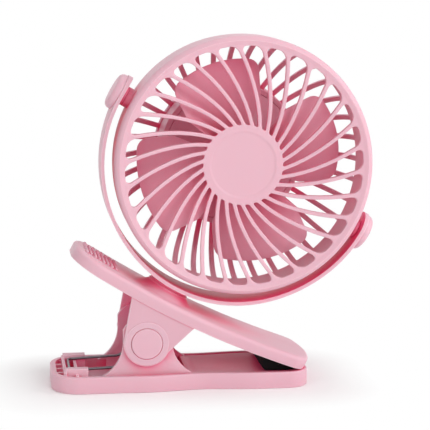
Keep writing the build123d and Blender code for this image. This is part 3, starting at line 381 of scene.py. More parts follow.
@dataclass(frozen=True)
class MouldedPlastic(Finish):
    """Satin moulded plastic: fine spark grain, faint flow marks, rubbed patches, with painted shade
    in its hollows and painted highlights on its edges.
    """

    shade: Colour
    # Colour of the painted shade that the base colour takes in hollows and under other parts.
    painted_shade_colour: Colour
    # Colour of the painted highlight on sharp edges.
    rim: Colour
    roughness: float = 0.42
    grain_depth: float = 0.000012
    grain_waves: float = 2600.0
    subsurface: float = 0.0
    # Reach, ramp and strength of the painted shade in hollows; skyward leans its look upwards.
    painted_shade_reach: float = 0.05
    painted_shade_stops: tuple[float, float] = (0.12, 0.62)
    painted_shade_strength: float = 0.95
    skyward: tuple[float, float, float] = (0.0, 0.0, 0.7)
    edge_radius: float = 0.0004
    # Radius, threshold, gain and strength of the painted edge highlight.
    painted_highlight_radius: float = 0.0009
    painted_highlight_from: float = 0.985
    painted_highlight_gain: float = 16.0
    painted_highlight_strength: float = 0.9

    def make(self) -> bpy.types.Material:
        """Builds the material.

        Returns:
            The finished material.
        """
        shader = Shader(self.name)
        flow = shader.noise(scale=22.0, detail=3.0)
        fine = shader.noise(self.grain_waves)
        rubbed = shader.ramp(shader.noise(scale=70.0, detail=4.0), (0.35, 0.0), (0.75, 1.0))
        plain = shader.mix_colour((flow - 0.35).clamp() * 0.5, self.colour, self.shade)
        # Painted shade: the share of the deeper pink, from how enclosed the point is.
        painted_shade_share = self.painted_shade_share(shader)
        # Painted highlight: the paler colour on sharp edges, standing in for light caught on them.
        with_painted_highlight = shader.mix_colour(self.painted_edge_highlight(shader, painted_shade_share), plain, self.rim)
        return shader.surface(
            {
                # Painted shade in hollows and under other parts, over the plain colour with its
                # painted edge highlight.
                "Base Color": shader.mix_colour(painted_shade_share * self.painted_shade_strength, with_painted_highlight, self.painted_shade_colour),
                "Roughness": rubbed * 0.07 + fine * 0.05 + (self.roughness - 0.06),
                "IOR": 1.46,
                "Specular IOR Level": 0.32,
                "Normal": shader.bump(fine + flow * 0.6, self.grain_depth, self.edge_radius),
                "Subsurface Weight": self.subsurface,
                "Subsurface Radius": (0.004, 0.0012, 0.0016),
                "Subsurface Scale": 1.0,
            }
        )

    def painted_shade_share(self, shader: Shader) -> Value:
        """The share of painted shade: how deep in a hollow or under another part a point lies, seen
        along a normal that leans upwards.

        Args:
            shader: The material's nodes.

        Returns:
            Nought in the open and one in a deep hollow, where the painted shade is strongest.
        """
        facing = shader.node("ShaderNodeNewGeometry", output="Normal")
        leaning_up = shader.vector("NORMALIZE", shader.vector("ADD", facing, self.skyward))
        inputs = {"Distance": self.painted_shade_reach, "Normal": leaning_up}
        open_air = shader.node("ShaderNodeAmbientOcclusion", {"samples": 8}, inputs, "AO")
        closed, clear = self.painted_shade_stops
        return shader.ramp(open_air, (closed, 1.0), (clear, 0.0))

    def painted_edge_highlight(self, shader: Shader, painted_shade_share: Value) -> Value:
        """The painted edge highlight: a paler colour where the face turns away from what a rounded
        edge would be.

        Args:
            shader: The material's nodes.
            painted_shade_share: How deep in a hollow the point lies, where no painted highlight
                shows.

        Returns:
            The painted highlight colour's share.
        """
        facing = shader.node("ShaderNodeNewGeometry", output="Normal")
        rounded_edge = shader.node("ShaderNodeBevel", {"samples": 6}, {"Radius": self.painted_highlight_radius})
        agreement = shader.vector("DOT_PRODUCT", rounded_edge, facing, output="Value")
        painted_edge_highlight = ((self.painted_highlight_from - agreement) * self.painted_highlight_gain).clamp()
        return painted_edge_highlight * (1.0 - painted_shade_share) * self.painted_highlight_strength


@dataclass(frozen=True)
class MouldedRubber(Finish):
    """Dull rubber with a fine tooth and pale dust in its pores."""

    roughness: float = 0.72
    dust: Colour = linear(30, 26, 28)

    def make(self) -> bpy.types.Material:
        """Builds the material.

        Returns:
            The finished material.
        """
        shader = Shader(self.name)
        tooth = shader.noise(scale=3200.0, detail=3.0)
        pores = shader.ramp(shader.noise(scale=140.0, detail=5.0), (0.45, 0.0), (0.8, 1.0))
        return shader.surface(
            {
                "Base Color": shader.mix_colour(pores * 0.2, self.colour, self.dust),
                "Roughness": tooth * 0.14 + (self.roughness - 0.07),
                "IOR": 1.42,
                "Specular IOR Level": 0.15,
                "Normal": shader.bump(tooth, 0.00004),
            }
        )


class Lay(Enum):
    """The direction of the marks that a metal part's making leaves, as waves per metre."""

    DRAWN = (400.0, 5200.0, 5200.0)
    TURNED = (5200.0, 900.0, 5200.0)
    ROLLED = (600.0, 6000.0, 600.0)


@dataclass(frozen=True)
class BareMetal(Finish):
    """Bare metal with the marks of its making and slight stains."""

    roughness: float
    lay: Lay

    def make(self) -> bpy.types.Material:
        """Builds the material.

        Returns:
            The finished material.
        """
        shader = Shader(self.name)
        inputs = {"Vector": shader.place(), "Scale": self.lay.value}
        marks = shader.noise(1.0, place=shader.node("ShaderNodeMapping", inputs=inputs))
        stain = shader.ramp(shader.noise(scale=160.0, detail=4.0), (0.4, 0.0), (0.8, 1.0))
        return shader.surface(
            {
                "Base Color": shader.mix_colour(stain * 0.5, self.colour, self.darker(0.62)),
                "Metallic": 1.0,
                "Roughness": marks * 0.16 + stain * 0.1 + (self.roughness - 0.1),
                "Normal": shader.bump(marks, 0.000008),
            }
        )


@dataclass(frozen=True)
class ShinySleeve(Finish):
    """Thin glossy plastic over something round: shrink sleeve and wire insulation."""

    roughness: float = 0.22

    def make(self) -> bpy.types.Material:
        """Builds the material.

        Returns:
            The finished material.
        """
        shader = Shader(self.name)
        ripple = shader.noise(scale=420.0, detail=3.0)
        return shader.surface(
            {
                "Base Color": shader.mix_colour(ripple * 0.5, self.colour, self.darker(0.7)),
                "Roughness": ripple * 0.12 + (self.roughness - 0.05),
                "Normal": shader.bump(ripple, 0.00002),
                "Coat Weight": 0.3,
            }
        )


@dataclass(frozen=True)
class CircuitLaminate(Finish):
    """Solder mask over glass laminate, with the tracks showing as a faint relief."""

    paler: Colour = (0.07, 0.3, 0.13, 1.0)

    def make(self) -> bpy.types.Material:
        """Builds the material.

        Returns:
            The finished material.
        """
        shader = Shader(self.name)
        cells = shader.node(
            "ShaderNodeTexVoronoi",
            {"distance": "CHEBYCHEV", "feature": "F1"},
            {"Vector": shader.place(), "Scale": 420.0, "Randomness": 0.6},
        )
        track = shader.ramp(cells, (0.32, 0.0), (0.38, 1.0))
        return shader.surface(
            {
                "Base Color": shader.mix_colour(track, self.colour, self.paler),
                "Roughness": track * 0.1 + 0.3,
                "Normal": shader.bump(track, 0.00003),
            }
        )


@dataclass(frozen=True)
class FrostedLens(Finish):
    """Milky translucent plastic of the charge light."""

    milk: Colour = (0.7, 0.72, 0.74, 1.0)

    def make(self) -> bpy.types.Material:
        """Builds the material.

        Returns:
            The finished material.
        """
        shader = Shader(self.name)
        cloud = shader.noise(900.0)
        return shader.surface(
            {
                "Base Color": shader.mix_colour(cloud * 0.5, self.colour, self.milk),
                "Roughness": cloud * 0.1 + 0.25,
                "Transmission Weight": 0.5,
                "IOR": 1.45,
            }
        )


def pink(name: str, painted_shade_colour: Colour, roughness: float) -> MouldedPlastic:
    """The body's pink, with the colour of the painted shade in its hollows and its roughness."""
    # Colour, flow-mark tone, painted shade in hollows and painted highlight on edges.
    faces = linear(226, 180, 193), linear(222, 170, 185), painted_shade_colour, linear(246, 210, 219)
    return MouldedPlastic(name, *faces, roughness=roughness, subsurface=0.15)


# Colours of the painted shade in hollows and under other parts: the body's, and the blades' paler
# one.
PAINTED_SHADE_PINK = linear(248, 68, 130)
PAINTED_BLADE_SHADE = linear(236, 128, 160)
# Dark plastic: its colour, flow-mark tone, painted shade in hollows and painted edge highlight.
DARK = linear(52, 46, 50), linear(38, 34, 37), linear(26, 22, 25), linear(70, 64, 68)
FINISHES: tuple[Finish, ...] = (
    pink("pink_plastic", PAINTED_SHADE_PINK, roughness=0.42),
    pink("pink_knob", PAINTED_SHADE_PINK, roughness=0.38),
    pink("pink_blades", PAINTED_BLADE_SHADE, roughness=0.38),
    MouldedRubber("black_rubber", linear(10, 8, 9)),
    MouldedPlastic("dark_plastic", *DARK, roughness=0.5),
    BareMetal("spring_steel", linear(118, 115, 120), 0.3, Lay.DRAWN),
    BareMetal("steel", linear(205, 204, 206), 0.3, Lay.TURNED),
    BareMetal("bronze", linear(190, 150, 96), 0.34, Lay.TURNED),
    BareMetal("nickel", linear(206, 203, 196), 0.24, Lay.ROLLED),
    ShinySleeve("cell_wrap", linear(62, 118, 160)),
    ShinySleeve("wire_red", linear(186, 34, 34), 0.34),
    CircuitLaminate("board_green", linear(24, 92, 48)),
    FrostedLens("clear_light", linear(236, 238, 240)),
)


# ---------------------------------------------------------------------------- mesh helpers
def leaning(degrees: float) -> tuple[Vector, Vector]:
    """The directions along and out of a surface that falls this steeply to the tip."""
    along, out = math.cos(math.radians(degrees)), math.sin(math.radians(degrees))
    return Vector((along, 0.0, -out)), Vector((out, 0.0, along))


LEVER_ALONG, LEVER_UP = leaning(28.0)
ALONG, UP = leaning(30.3)
FORWARD = Vector((0.0, -1.0, 0.0))
LEVER_SPOT = Vector((-4.6, 0.0, 48.35)) * MM
LEVER_ARCH = 530.0
FOOT = Vector((-7.58, 0.0, 50.0)) * MM
HEAD_CENTRE = FOOT + UP * (85.0 * MM)
PIVOT_SPOT = Vector((-19.7, 0.0, 26.8)) * MM


def frame_of(origin: Vector, x_axis: Vector, z_axis: Vector) -> Matrix:
    """The matrix of a right-handed frame.

    Args:
        origin: Where the frame sits.
        x_axis: Its first axis.
        z_axis: Its third axis.

    Returns:
        The matrix from the frame to the object's own axes.
    """
    y_axis = z_axis.cross(x_axis)
    turn = Matrix((x_axis, y_axis, z_axis)).transposed().to_4x4()
    return Matrix.Translation(origin) @ turn


HEAD_FRAME = frame_of(HEAD_CENTRE, ALONG, FORWARD)
LEVER_FRAME = frame_of(LEVER_SPOT, LEVER_ALONG, LEVER_UP)
SWIVEL_FRAME = frame_of(FOOT, ALONG, UP)


def to_object(name: str, mesh: bpy.types.Mesh, smooth_angle: float = 35.0) -> bpy.types.Object:
    """Links a mesh into the scene, smooth up to an angle.

    Args:
        name: The piece's name.
        mesh: Its mesh, already in place.
        smooth_angle: Edges sharper than this stay sharp, in degrees.

    Returns:
        The new object.
    """
    mesh.name = name
    mesh.shade_smooth()
    mesh.set_sharp_from_angle(angle=math.radians(smooth_angle))
    return linked(name, mesh)


def to_mesh(name: str, bm: bmesh.types.BMesh) -> bpy.types.Mesh:
    """Turns a bmesh into a mesh and frees it.

    Args:
        name: The mesh's name.
        bm: The bmesh.

    Returns:
        The mesh.
    """
    mesh = bpy.data.meshes.new(name)
    bm.to_mesh(mesh)
    bm.free()
    return mesh


def from_bmesh(name: str, bm: bmesh.types.BMesh, place: Matrix | None = None) -> bpy.types.Mesh:
    """Ends a bmesh as a mesh with outward faces.

    Args:
        name: The mesh's name.
        bm: The bmesh, which is freed.
        place: A matrix that puts it in place.

    Returns:
        The mesh.
    """
    bmesh.ops.remove_doubles(bm, verts=bm.verts, dist=1e-7)
    bmesh.ops.recalc_face_normals(bm, faces=bm.faces)
    bm.transform(place or Matrix())
    return to_mesh(name, bm)


def join(bm: bmesh.types.BMesh, other: bmesh.types.BMesh, place: Matrix | None = None) -> None:
    """Adds one bmesh to another and frees it.

    Args:
        bm: The one that grows.
        other: The one that is added.
        place: A matrix that puts the added one in place.
    """
    other.transform(place or Matrix())
    mesh = to_mesh("joined", other)
    bm.from_mesh(mesh)
    bpy.data.meshes.remove(mesh)


def turned(bm: bmesh.types.BMesh, radius: float, turn: float, height: float) -> bmesh.types.BMVert:
    """Adds a point by radius and height in millimetres and angle in radians."""
    place = Vector((radius * math.cos(turn), radius * math.sin(turn), height))
    return bm.verts.new(place * MM)


def ring_of(
    bm: bmesh.types.BMesh, turns: Sequence[float], radius: float, height: float
) -> list[bmesh.types.BMVert]:
    """Adds points at one radius and height; on the axis it is one point over and over.

    Args:
        bm: The bmesh that gets them.
        turns: Their angles.
        radius: The radius in millimetres.
        height: The height in millimetres.

    Returns:
        One point for each angle.
    """
    if radius < 1e-6:
        return [turned(bm, 0.0, 0.0, height)] * len(turns)
    return [turned(bm, radius, turn, height) for turn in turns]


def span(
    bm: bmesh.types.BMesh, rows: Sequence[Sequence[bmesh.types.BMVert]], closed: bool = True
) -> None:
    """Spans faces between rows of points of equal length.

    Args:
        bm: The bmesh that gets them.
        rows: The rows, in turn.
        closed: True where a row's last point is next to its first.
    """
    for low, high in zip(rows, rows[1:]):
        for i in range(0 if closed else 1, len(low)):
            corners = dict.fromkeys((low[i - 1], low[i], high[i], high[i - 1]))
            if len(corners) > 2:
                bm.faces.new(tuple(corners))


def lathe(profile: Outline, steps: int = 96) -> bmesh.types.BMesh:
    """Turns a profile of radius and height, in millimetres, about the z axis.

    Args:
        profile: The closed outline's points; those at radius nought are poles.
        steps: How many sides the turn has.

    Returns:
        The closed surface.
    """
    bm = bmesh.new()
    turns = [2.0 * math.pi * step / steps for step in range(steps)]
    rings = [ring_of(bm, turns, radius, height) for radius, height in profile]
    span(bm, [*rings, rings[0]])
    return bm


def block(bore: float, radius: float, low: float, high: float) -> Outline:
    """The outline of a plain disc or ring."""
    return (bore, low), (radius, low), (radius, high), (bore, high)


def rounded(
    points: Outline, radii: Sequence[float], steps: int = 5, share: float = 0.49
) -> Outline:
    """Rounds the corners of an outline.

    Args:
        points: The outline's corners.
        radii: One radius for each corner; nought leaves it sharp.
        steps: Steps on each rounded corner.
        share: How much of a side one corner may take.

    Returns:
        The outline with arcs in place of its corners.
    """
    made: list[tuple[float, float]] = []
    for index, (point, radius) in enumerate(zip(points, radii)):
        if radius <= 0.0:
            made.append(point)
            continue
        here = Vector(point)
        before = Vector(points[index - 1]) - here
        after = Vector(points[(index + 1) % len(points)]) - here
        half = before.angle(after) / 2.0
        reach = min(radius / math.tan(half), before.length * share, after.length * share)
        before.normalize()
        after.normalize()
        centre = here + (before + after).normalized() * (reach / math.cos(half))
        start = here + before * reach - centre
        sweep = start.angle_signed(here + after * reach - centre)
        for step in range(steps + 1):
            made.append(tuple(centre + Matrix.Rotation(-sweep * step / steps, 2) @ start))
    return made


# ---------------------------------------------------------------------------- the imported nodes
class Dresser:
    """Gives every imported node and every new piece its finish."""

    def __init__(self) -> None:
        """Makes each finish once."""
        self.made = {finish.name: finish.make() for finish in FINISHES}
        self.slots = {part["node"]: part["material_slot"] for part in frame["record"]["subparts"]}

    def dress(self, piece: bpy.types.Object, slot: str) -> None:
        """Puts the finish of a slot on a piece."""
        piece.data.materials.clear()
        piece.data.materials.append(self.made[slot])

    def dress_nodes(self) -> None:
        """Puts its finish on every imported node."""
        for name, node in frame["nodes"].items():
            self.dress(node, self.slots[name])
            LOG.info("node %s wears %s", name, self.slots[name])

    def fit(
        self, piece: bpy.types.Object, body: str, slot: str, nodes: Iterable[str] = ()
    ) -> None:
        """Dresses a new piece, seats it on its body and lets it stand for nodes.

        Args:
            piece: The new piece.
            body: The body it rides.
            slot: The finish's slot name.
            nodes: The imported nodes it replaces.
        """
        self.dress(piece, slot)
        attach(piece, body)
        if nodes:
            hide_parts(*nodes)
        LOG.info("piece %s rides %s", piece.name, body)


# ---------------------------------------------------------------------------- torsion spring
@dataclass
class TorsionSpring:
    """The double torsion spring: two coils on the pivot, joined by a bail in the tray."""

    wire: float = 1.5
    coil: float = 8.0
    pitch: float = 2.15
    turns: int = 3
    leg: float = 12.7
    bail: tuple[float, float] = (-61.7, 10.1)
    corner: float = 3.0
    bend: tuple[float, float] = (-33.0, 11.4)
    bend_radius: float = 5.0
    leaving: float = 35.0
    under: float = 3.8
    corner_steps: int = 8
    bend_steps: int = 6
    turn_steps: int = 40

    def lower_leg(self, slope: float) -> list[Vector]:
        """The line from the middle of the bail, round its corner and the leg's bend.

        Args:
            slope: The slope at which the leg meets its coil, in radians.

        Returns:
            The points up to the end of the bend.
        """
        corner = Vector((self.bail[0], self.leg, self.bail[1]))
        bend = Vector((self.bend[0], self.leg, self.bend[1]))
        flat = (bend - corner).normalized()
        points = [Vector((corner.x, 0.0, corner.z))]
        for step in range(self.corner_steps + 1):
            turn = math.pi / 2 * step / self.corner_steps
            sideways = Vector((0.0, -self.corner, 0.0)) * (1.0 - math.sin(turn))
            points.append(corner + sideways + flat * self.corner * (1.0 - math.cos(turn)))
        swing = flat.angle(Vector((math.cos(slope), 0.0, math.sin(slope))))
        above = Vector((-flat.z, 0.0, flat.x))
        centre = bend + (above - flat * math.tan(swing / 2)) * self.bend_radius
        for step in range(self.bend_steps + 1):
            turn = swing * step / self.bend_steps
            away = flat * math.sin(turn) - above * math.cos(turn)
            points.append(centre + away * self.bend_radius)
        return points

    def side_points(self) -> list[Vector]:
        """The line of one half, from the middle of the bail to the upper leg's end.

        Returns:
            The points, in millimetres.
        """
        pivot = PIVOT_SPOT / MM
        reach = Vector((pivot.x - self.bend[0], pivot.z - self.bend[1]))
        slope = math.atan2(reach.y, reach.x) - math.asin(self.coil / reach.length)
        points = self.lower_leg(slope)
        leaving = math.radians(self.leaving)
        begin = slope - math.pi / 2
        total = leaving - begin + 2 * math.pi * self.turns
        count = self.turn_steps * self.turns
        for step in range(count + 1):
            wound = total * step / count
            out = Vector((math.cos(begin + wound), 0.0, math.sin(begin + wound))) * self.coil
            out.y = self.leg - self.pitch * wound / (2 * math.pi)
            points.append(pivot + out)
        direction = Vector((-math.sin(leaving), 0.0, math.cos(leaving)))
        points.append(points[-1] + direction * self.upper_reach(points[-1], direction))
        return points

    def upper_reach(self, start: Vector, direction: Vector) -> float:
        """How far the upper leg runs until it lies under the lever's top wall.

        Args:
            start: Where the leg leaves its coil.
            direction: The leg's direction.

        Returns:
            The leg's length.
        """
        away = start - LEVER_SPOT / MM - LEVER_UP * LEVER_ARCH
        along = away.x * direction.x + away.z * direction.z
        short = away.x**2 + away.z**2 - (LEVER_ARCH + self.under) ** 2
        return -along - math.sqrt(along * along - short)

    def build(self, dresser: Dresser) -> None:
        """Makes the wire as one tube.

        Args:
            dresser: Gives the finish.
        """
        half = self.side_points()
        line = [Vector((p.x, -p.y, p.z)) for p in half[:0:-1]] + half
        curve = bpy.data.curves.new("spring_wire", "CURVE")
        curve.dimensions = "3D"
        spline = curve.splines.new("POLY")
        spline.points.add(len(line) - 1)
        for point, here in zip(spline.points, line):
            point.co = (*(here * MM), 1.0)
        curve.bevel_depth = self.wire / 2 * MM
        curve.bevel_resolution = 4
        curve.use_fill_caps = True
        piece = to_object("spring_wire", evaluated(linked("spring_line", curve)), 60.0)
        dresser.dress(piece, "spring_steel")
        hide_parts("torsion_spring")
        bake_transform(piece)
        LOG.info("piece spring_wire bends from clip_base to clip_lever")


# ---------------------------------------------------------------------------- pierced shells
@dataclass
class PiercedTurning:
    """A turned shell with a ring of slots, made as one sector that repeats all round."""

    count: int
    rib: float
    slant: float
    skin: Callable[[float, float], tuple[float, float]]
    centre: Callable[[float], float]
    slot: tuple[float, float]
    band: tuple[float, float]
    corners: tuple[float, float]
    deep: float
    first_edge: Outline
    last_edge: Outline
    soft: float = 0.5
    soft_steps: int = 3
    sides: int = 18
    across: int = 5
    start_steps: int = 4
    end_steps: int = 6
    least_width: float = 0.05

    def half_width(self, place: float) -> float:
        """Half the slot's width at a place along the skin."""
        radius = self.skin(place, 0.0)[0]
        return (2.0 * math.pi * radius / self.count - self.rib / self.slant) / 2.0

    def ends(self, grown: float) -> tuple[float, float, float, float]:
        """The slot's start and end and the radii of its corners, with its outline grown."""
        low, high = self.corners
        return self.slot[0] - grown, self.slot[1] + grown, low + grown, high + grown

    def shares(self) -> list[float]:
        """Places across the slot's short sides, from one side to the other."""
        return [1.0 - 2.0 * (i + 1) / (self.across + 1) for i in range(self.across)]

    def places(self, grown: float) -> list[float]:
        """Where the slot's long side is sampled, closer together on its round ends.

        Args:
            grown: How far the outline stands outside the slot.

        Returns:
            Places along the skin.
        """
        start, end, low, high = self.ends(grown)

        def run(step: int, steps: int) -> float:
            """How much of a corner's radius this many of its steps take."""
            return 1.0 - math.cos(math.pi / 2 * step / steps)

        near = [start + low * run(i, self.start_steps) for i in range(self.start_steps)]
        far = [end - high * run(i, self.end_steps) for i in reversed(range(self.end_steps))]
        gaps = self.sides - len(near) - len(far) - 1
        first, last = start + low, end - high
        return near + [first + (last - first) * i / gaps for i in range(gaps + 1)] + far

    def outline(self, grown: float) -> list[tuple[float, float]]:
        """The slot's outline, as places along the skin and widths from its middle.

        Args:
            grown: How far the outline stands outside the slot.

        Returns:
            The closed outline's points.
        """
        start, end, low, high = self.ends(grown)
        side = []
        for place in self.places(grown):
            width = self.half_width(place) + grown
            for radius, past in ((low, start + low - place), (high, place - end + high)):
                if past > 0.0:
                    width -= radius - math.sqrt(max(radius**2 - past**2, 0.0))
            side.append((place, max(width, self.least_width)))
        top = [(end, side[-1][1] * share) for share in self.shares()]
        bottom = [(start, -side[0][1] * share) for share in self.shares()]
        return side + top + [(place, -width) for place, width in reversed(side)] + bottom

    def border(self) -> list[tuple[float, float]]:
        """The sector's own outline, as places along the skin and angles.

        Returns:
            The closed outline's points.
        """
        start, end = self.slot
        low, high = self.band
        half = math.pi / self.count
        side = [low + (p - start) / (end - start) * (high - low) for p in self.places(0.0)]
        around = [(place, 1.0) for place in side] + [(high, share) for share in self.shares()]
        around += [(place, -1.0) for place in reversed(side)]
        around += [(low, -share) for share in self.shares()]
        return [(place, self.centre(place) + half * share) for place, share in around]

    def loop(
        self, bm: bmesh.types.BMesh, points: Outline, depth: float
    ) -> list[bmesh.types.BMVert]:
        """Adds a loop of points at one depth.

        Args:
            bm: The sector's bmesh.
            points: Places along the skin and angles.
            depth: How deep under the skin the loop lies.

        Returns:
            The loop's vertices.
        """
        made = []
        for place, turn in points:
            radius, height = self.skin(place, depth)
            made.append(turned(bm, radius, turn, height))
        return made

    def slot_loop(
        self, bm: bmesh.types.BMesh, turn: float, deep: float, way: float
    ) -> list[bmesh.types.BMVert]:
        """Adds a loop on the slot's rounded edge, a turn round it from a skin's own depth."""
        points = [
            (place, self.centre(place) + width / self.skin(place, 0.0)[0])
            for place, width in self.outline(self.soft * (1.0 - math.sin(turn)))
        ]
        return self.loop(bm, points, deep + way * self.soft * (1.0 - math.cos(turn)))

    def sector(self, name: str) -> bpy.types.Mesh:
        """Builds one sector: the skin round one slot, its walls and both edge strips.

        Args:
            name: The mesh's name.

        Returns:
            The sector's mesh.
        """
        bm = bmesh.new()
        edge = self.border()
        top, under = self.loop(bm, edge, 0.0), self.loop(bm, edge, self.deep)
        turns = [math.pi / 2 * i / self.soft_steps for i in range(self.soft_steps + 1)]
        outer = [self.slot_loop(bm, turn, 0.0, 1.0) for turn in turns]
        inner = [self.slot_loop(bm, turn, self.deep, -1.0) for turn in reversed(turns)]
        span(bm, [top, *outer, *inner, under])
        side, short = self.sides, self.across
        last = range(side - 1, side + short + 1)
        first = [*range(2 * side + short - 1, 2 * side + 2 * short), 0]
        for places, profile in ((last, self.last_edge), (first, self.first_edge)):
            turns = [edge[i][1] for i in places]
            strip = [ring_of(bm, turns, radius, height) for radius, height in profile]
            span(bm, [[top[i] for i in places], *strip, [under[i] for i in places]], closed=False)
        return to_mesh(name, bm)

    def build(self, name: str, finish: bpy.types.Material) -> bmesh.types.BMesh:
        """Repeats the sector all round and welds it.

        Args:
            name: The piece's name.
            finish: Its material.

        Returns:
            The welded shell in its own frame.
        """
        mesh = repeat_round(name, self.sector(name), self.count, finish)
        bm = bmesh.new()
        bm.from_mesh(mesh)
        bpy.data.meshes.remove(mesh)
        return bm


def repeat_round(
    name: str, stock: bpy.types.Mesh, count: int, finish: bpy.types.Material
) -> bpy.types.Mesh:
    """Repeats a mesh all round the z axis with a Geometry Nodes tree.

    Args:
        name: The tree's and the mesh's name.
        stock: What is repeated.
        count: How many times.
        finish: The material.

    Returns:
        The joined mesh.
    """
    growth = Growth(name, {"Count": count})
    copies, number = growth.index_copies(growth.size("Stock"), growth.size("Count"))
    turn = growth.point(0.0, 0.0, number * (2.0 * math.pi) / growth.size("Count"))
    inputs = {"Instances": copies, "Rotation": turn, "Local Space": False}
    spun = growth.node("GeometryNodeRotateInstances", inputs=inputs)
    return growth.grow(name, spun, finish, stock)


# ---------------------------------------------------------------------------- fan head
@dataclass
class FanHead:
    """Front grille and rear shell of the round head."""

    radius: float = 71.8
    wall: float = 2.0
    front: float = 18.0
    dish: float = 8.5
    dish_slopes: tuple[float, float] = (0.02, 0.12)
    hub: float = 20.4
    ring: float = 67.1
    ring_drop: float = 0.9
    front_ribs: int = 30
    front_rib: float = 2.1
    front_depth: float = 3.2
    twist: float = 28.0
    slot: tuple[float, float] = (22.4, 66.3)
    front_corners: tuple[float, float] = (0.8, 3.6)
    rim: Outline = (
        *((68.1, 17.75), (69.2, 18.0), (70.3, 17.6), (71.2, 16.7), (71.65, 15.7), (71.8, 14.8)),
        *((71.8, 13.3), (71.5, 13.0), (69.6, 13.0), (69.6, 10.7), (69.3, 10.5), (67.8, 10.5)),
        (67.8, 13.6),
    )
    hub_face: Outline = (
        *((19.2, 0.0), (18.4, 0.05), (17.9, 0.35), (17.3, 0.4)),
        *((9.0, 0.4), (0.0, 0.4), (0.0, 3.2), (9.0, 3.2)),
    )
    rear_ribs: int = 36
    rear_rib: float = 3.0
    rear_corners: tuple[float, float] = (0.6, 0.6)
    rear_soft: float = 0.45
    barrel: float = 3.0
    barrel_lip: float = 12.9
    slot_start: float = 15.0
    pod: float = 41.0
    pod_front: float = -38.0
    pod_wall: tuple[float, float] = (2.2, 0.8)
    pod_margin: float = 2.5
    rear_margins: tuple[float, float] = (2.0, 1.2)
    break_edge: float = 0.3
    boss: tuple[float, float] = (5.6, 74.88)
    smooth: float = 32.0

    def dished(self, place: float, depth: float) -> tuple[float, float]:
        """The front grille's skin, a curve with a set slope at both its ends.

        Args:
            place: The radius.
            depth: How deep under the skin.

        Returns:
            Radius and height.
        """
        spread = self.ring - self.hub
        share = (place - self.hub) / spread
        low, high = self.front - self.dish, self.front - self.ring_drop
        rise = 3 * share**2 - 2 * share**3
        height = low * (1.0 - rise) + high * rise
        height += (share**3 - 2 * share**2 + share) * self.dish_slopes[0] * spread
        height += (share**3 - share**2) * self.dish_slopes[1] * spread
        return place, height - depth

    def domed(self, place: float, depth: float) -> tuple[float, float]:
        """The rear shell's skin, part of a ball.

        Args:
            place: The length of arc from the barrel's end.
            depth: How deep under the skin.

        Returns:
            Radius and height.
        """
        turn = place / self.radius
        radius = self.radius - depth
        return radius * math.cos(turn), -self.barrel - radius * math.sin(turn)

    def front_grille(self, dresser: Dresser) -> None:
        """Builds the ring, the spiral ribs and the sunken hub as one piece.

        Args:
            dresser: Gives the finish.
        """
        start, end = self.slot
        slope = math.radians(self.twist) / math.log(end / start)
        shell = PiercedTurning(
            count=self.front_ribs,
            rib=self.front_rib,
            slant=1.0 / math.sqrt(1.0 + slope**2),
            skin=self.dished,
            centre=lambda p: slope * math.log(p / start) + math.pi / self.front_ribs,
            slot=self.slot,
            band=(self.hub, self.ring),
            corners=self.front_corners,
            deep=self.front_depth,
            first_edge=[(radius, self.front - self.dish - drop) for radius, drop in self.hub_face],
            last_edge=self.rim,
        )
        bm = shell.build("front_grille_ribs", dresser.made["pink_plastic"])
        self.seat("grille", bm, "front_grille", dresser)

    def rear_shell(self, dresser: Dresser) -> None:
        """Builds the barrel, the rear ribs and the pod's tube with the trunnion bosses.

        Args:
            dresser: Gives the finish.
        """
        start = self.radius * math.asin((self.slot_start - self.barrel) / self.radius)
        end = self.radius * math.acos((self.pod + self.pod_margin) / self.radius)
        before, after = self.rear_margins
        outer, inner, soft = self.radius, self.radius - self.wall, self.break_edge
        back, middle, lip = -self.barrel, 4.0, self.barrel_lip
        barrel = [(outer, back), (outer, middle), (outer, lip - soft), (outer - soft, lip)]
        barrel += [(inner, lip), (inner, middle), (inner, back)]
        edge_z = self.domed(self.radius * math.acos(self.pod / self.radius), 0.0)[1]
        under_z = -self.barrel - math.sqrt(inner**2 - self.pod**2)
        pod_edge = [(self.pod + soft / 2, edge_z + soft / 3), (self.pod, edge_z + soft)]
        pod_edge.append((self.pod, under_z))
        shell = PiercedTurning(
            count=self.rear_ribs,
            rib=self.rear_rib,
            slant=1.0,
            skin=self.domed,
            centre=lambda p: math.pi / self.rear_ribs,
            slot=(start, end),
            band=(start - before, end + after),
            corners=self.rear_corners,
            deep=self.wall,
            first_edge=barrel,
            last_edge=pod_edge,
            soft=self.rear_soft,
        )
        bm = shell.build("rear_shell_ribs", dresser.made["pink_plastic"])
        inside, outside = self.pod_wall
        tube = block(self.pod - inside, self.pod + outside, self.pod_front, under_z)
        join(bm, lathe(rounded(tube, (soft, soft, 0.0, 0.0))))
        radius, top = self.boss
        for side in (-1.0, 1.0):
            boss = lathe(rounded(block(0.0, radius, inner + soft, top), (0, 0, 0.4, 0)), 48)
            join(bm, boss, Matrix.Rotation(side * math.pi / 2, 4, "Y"))
        self.seat("shell", bm, "rear_shell", dresser)

    def seat(self, name: str, bm: bmesh.types.BMesh, node: str, dresser: Dresser) -> None:
        """Ends one half, from the head's own frame, and lets it stand for its node."""
        piece = to_object(name, from_bmesh(name, bm, HEAD_FRAME), self.smooth)
        dresser.fit(piece, "head", "pink_plastic", [node])

    def build(self, dresser: Dresser) -> None:
        """Builds both halves of the head."""
        self.front_grille(dresser)
        self.rear_shell(dresser)


# ---------------------------------------------------------------------------- turned pieces
@dataclass(frozen=True)
class Turning:
    """One small turned piece: its outline, and the rounding of each corner."""

    name: str
    body: str
    nodes: tuple[str, ...]
    frame: Matrix
    outline: Outline
    rounding: tuple[float, ...]
    slot: str = "pink_knob"

    def build(self, dresser: Dresser) -> None:
        """Turns the piece and seats it."""
        profile = rounded(self.outline, self.rounding, 8, 0.9)
        mesh = from_bmesh(self.name, lathe(profile), self.frame)
        dresser.fit(to_object(self.name, mesh), self.body, self.slot, self.nodes)


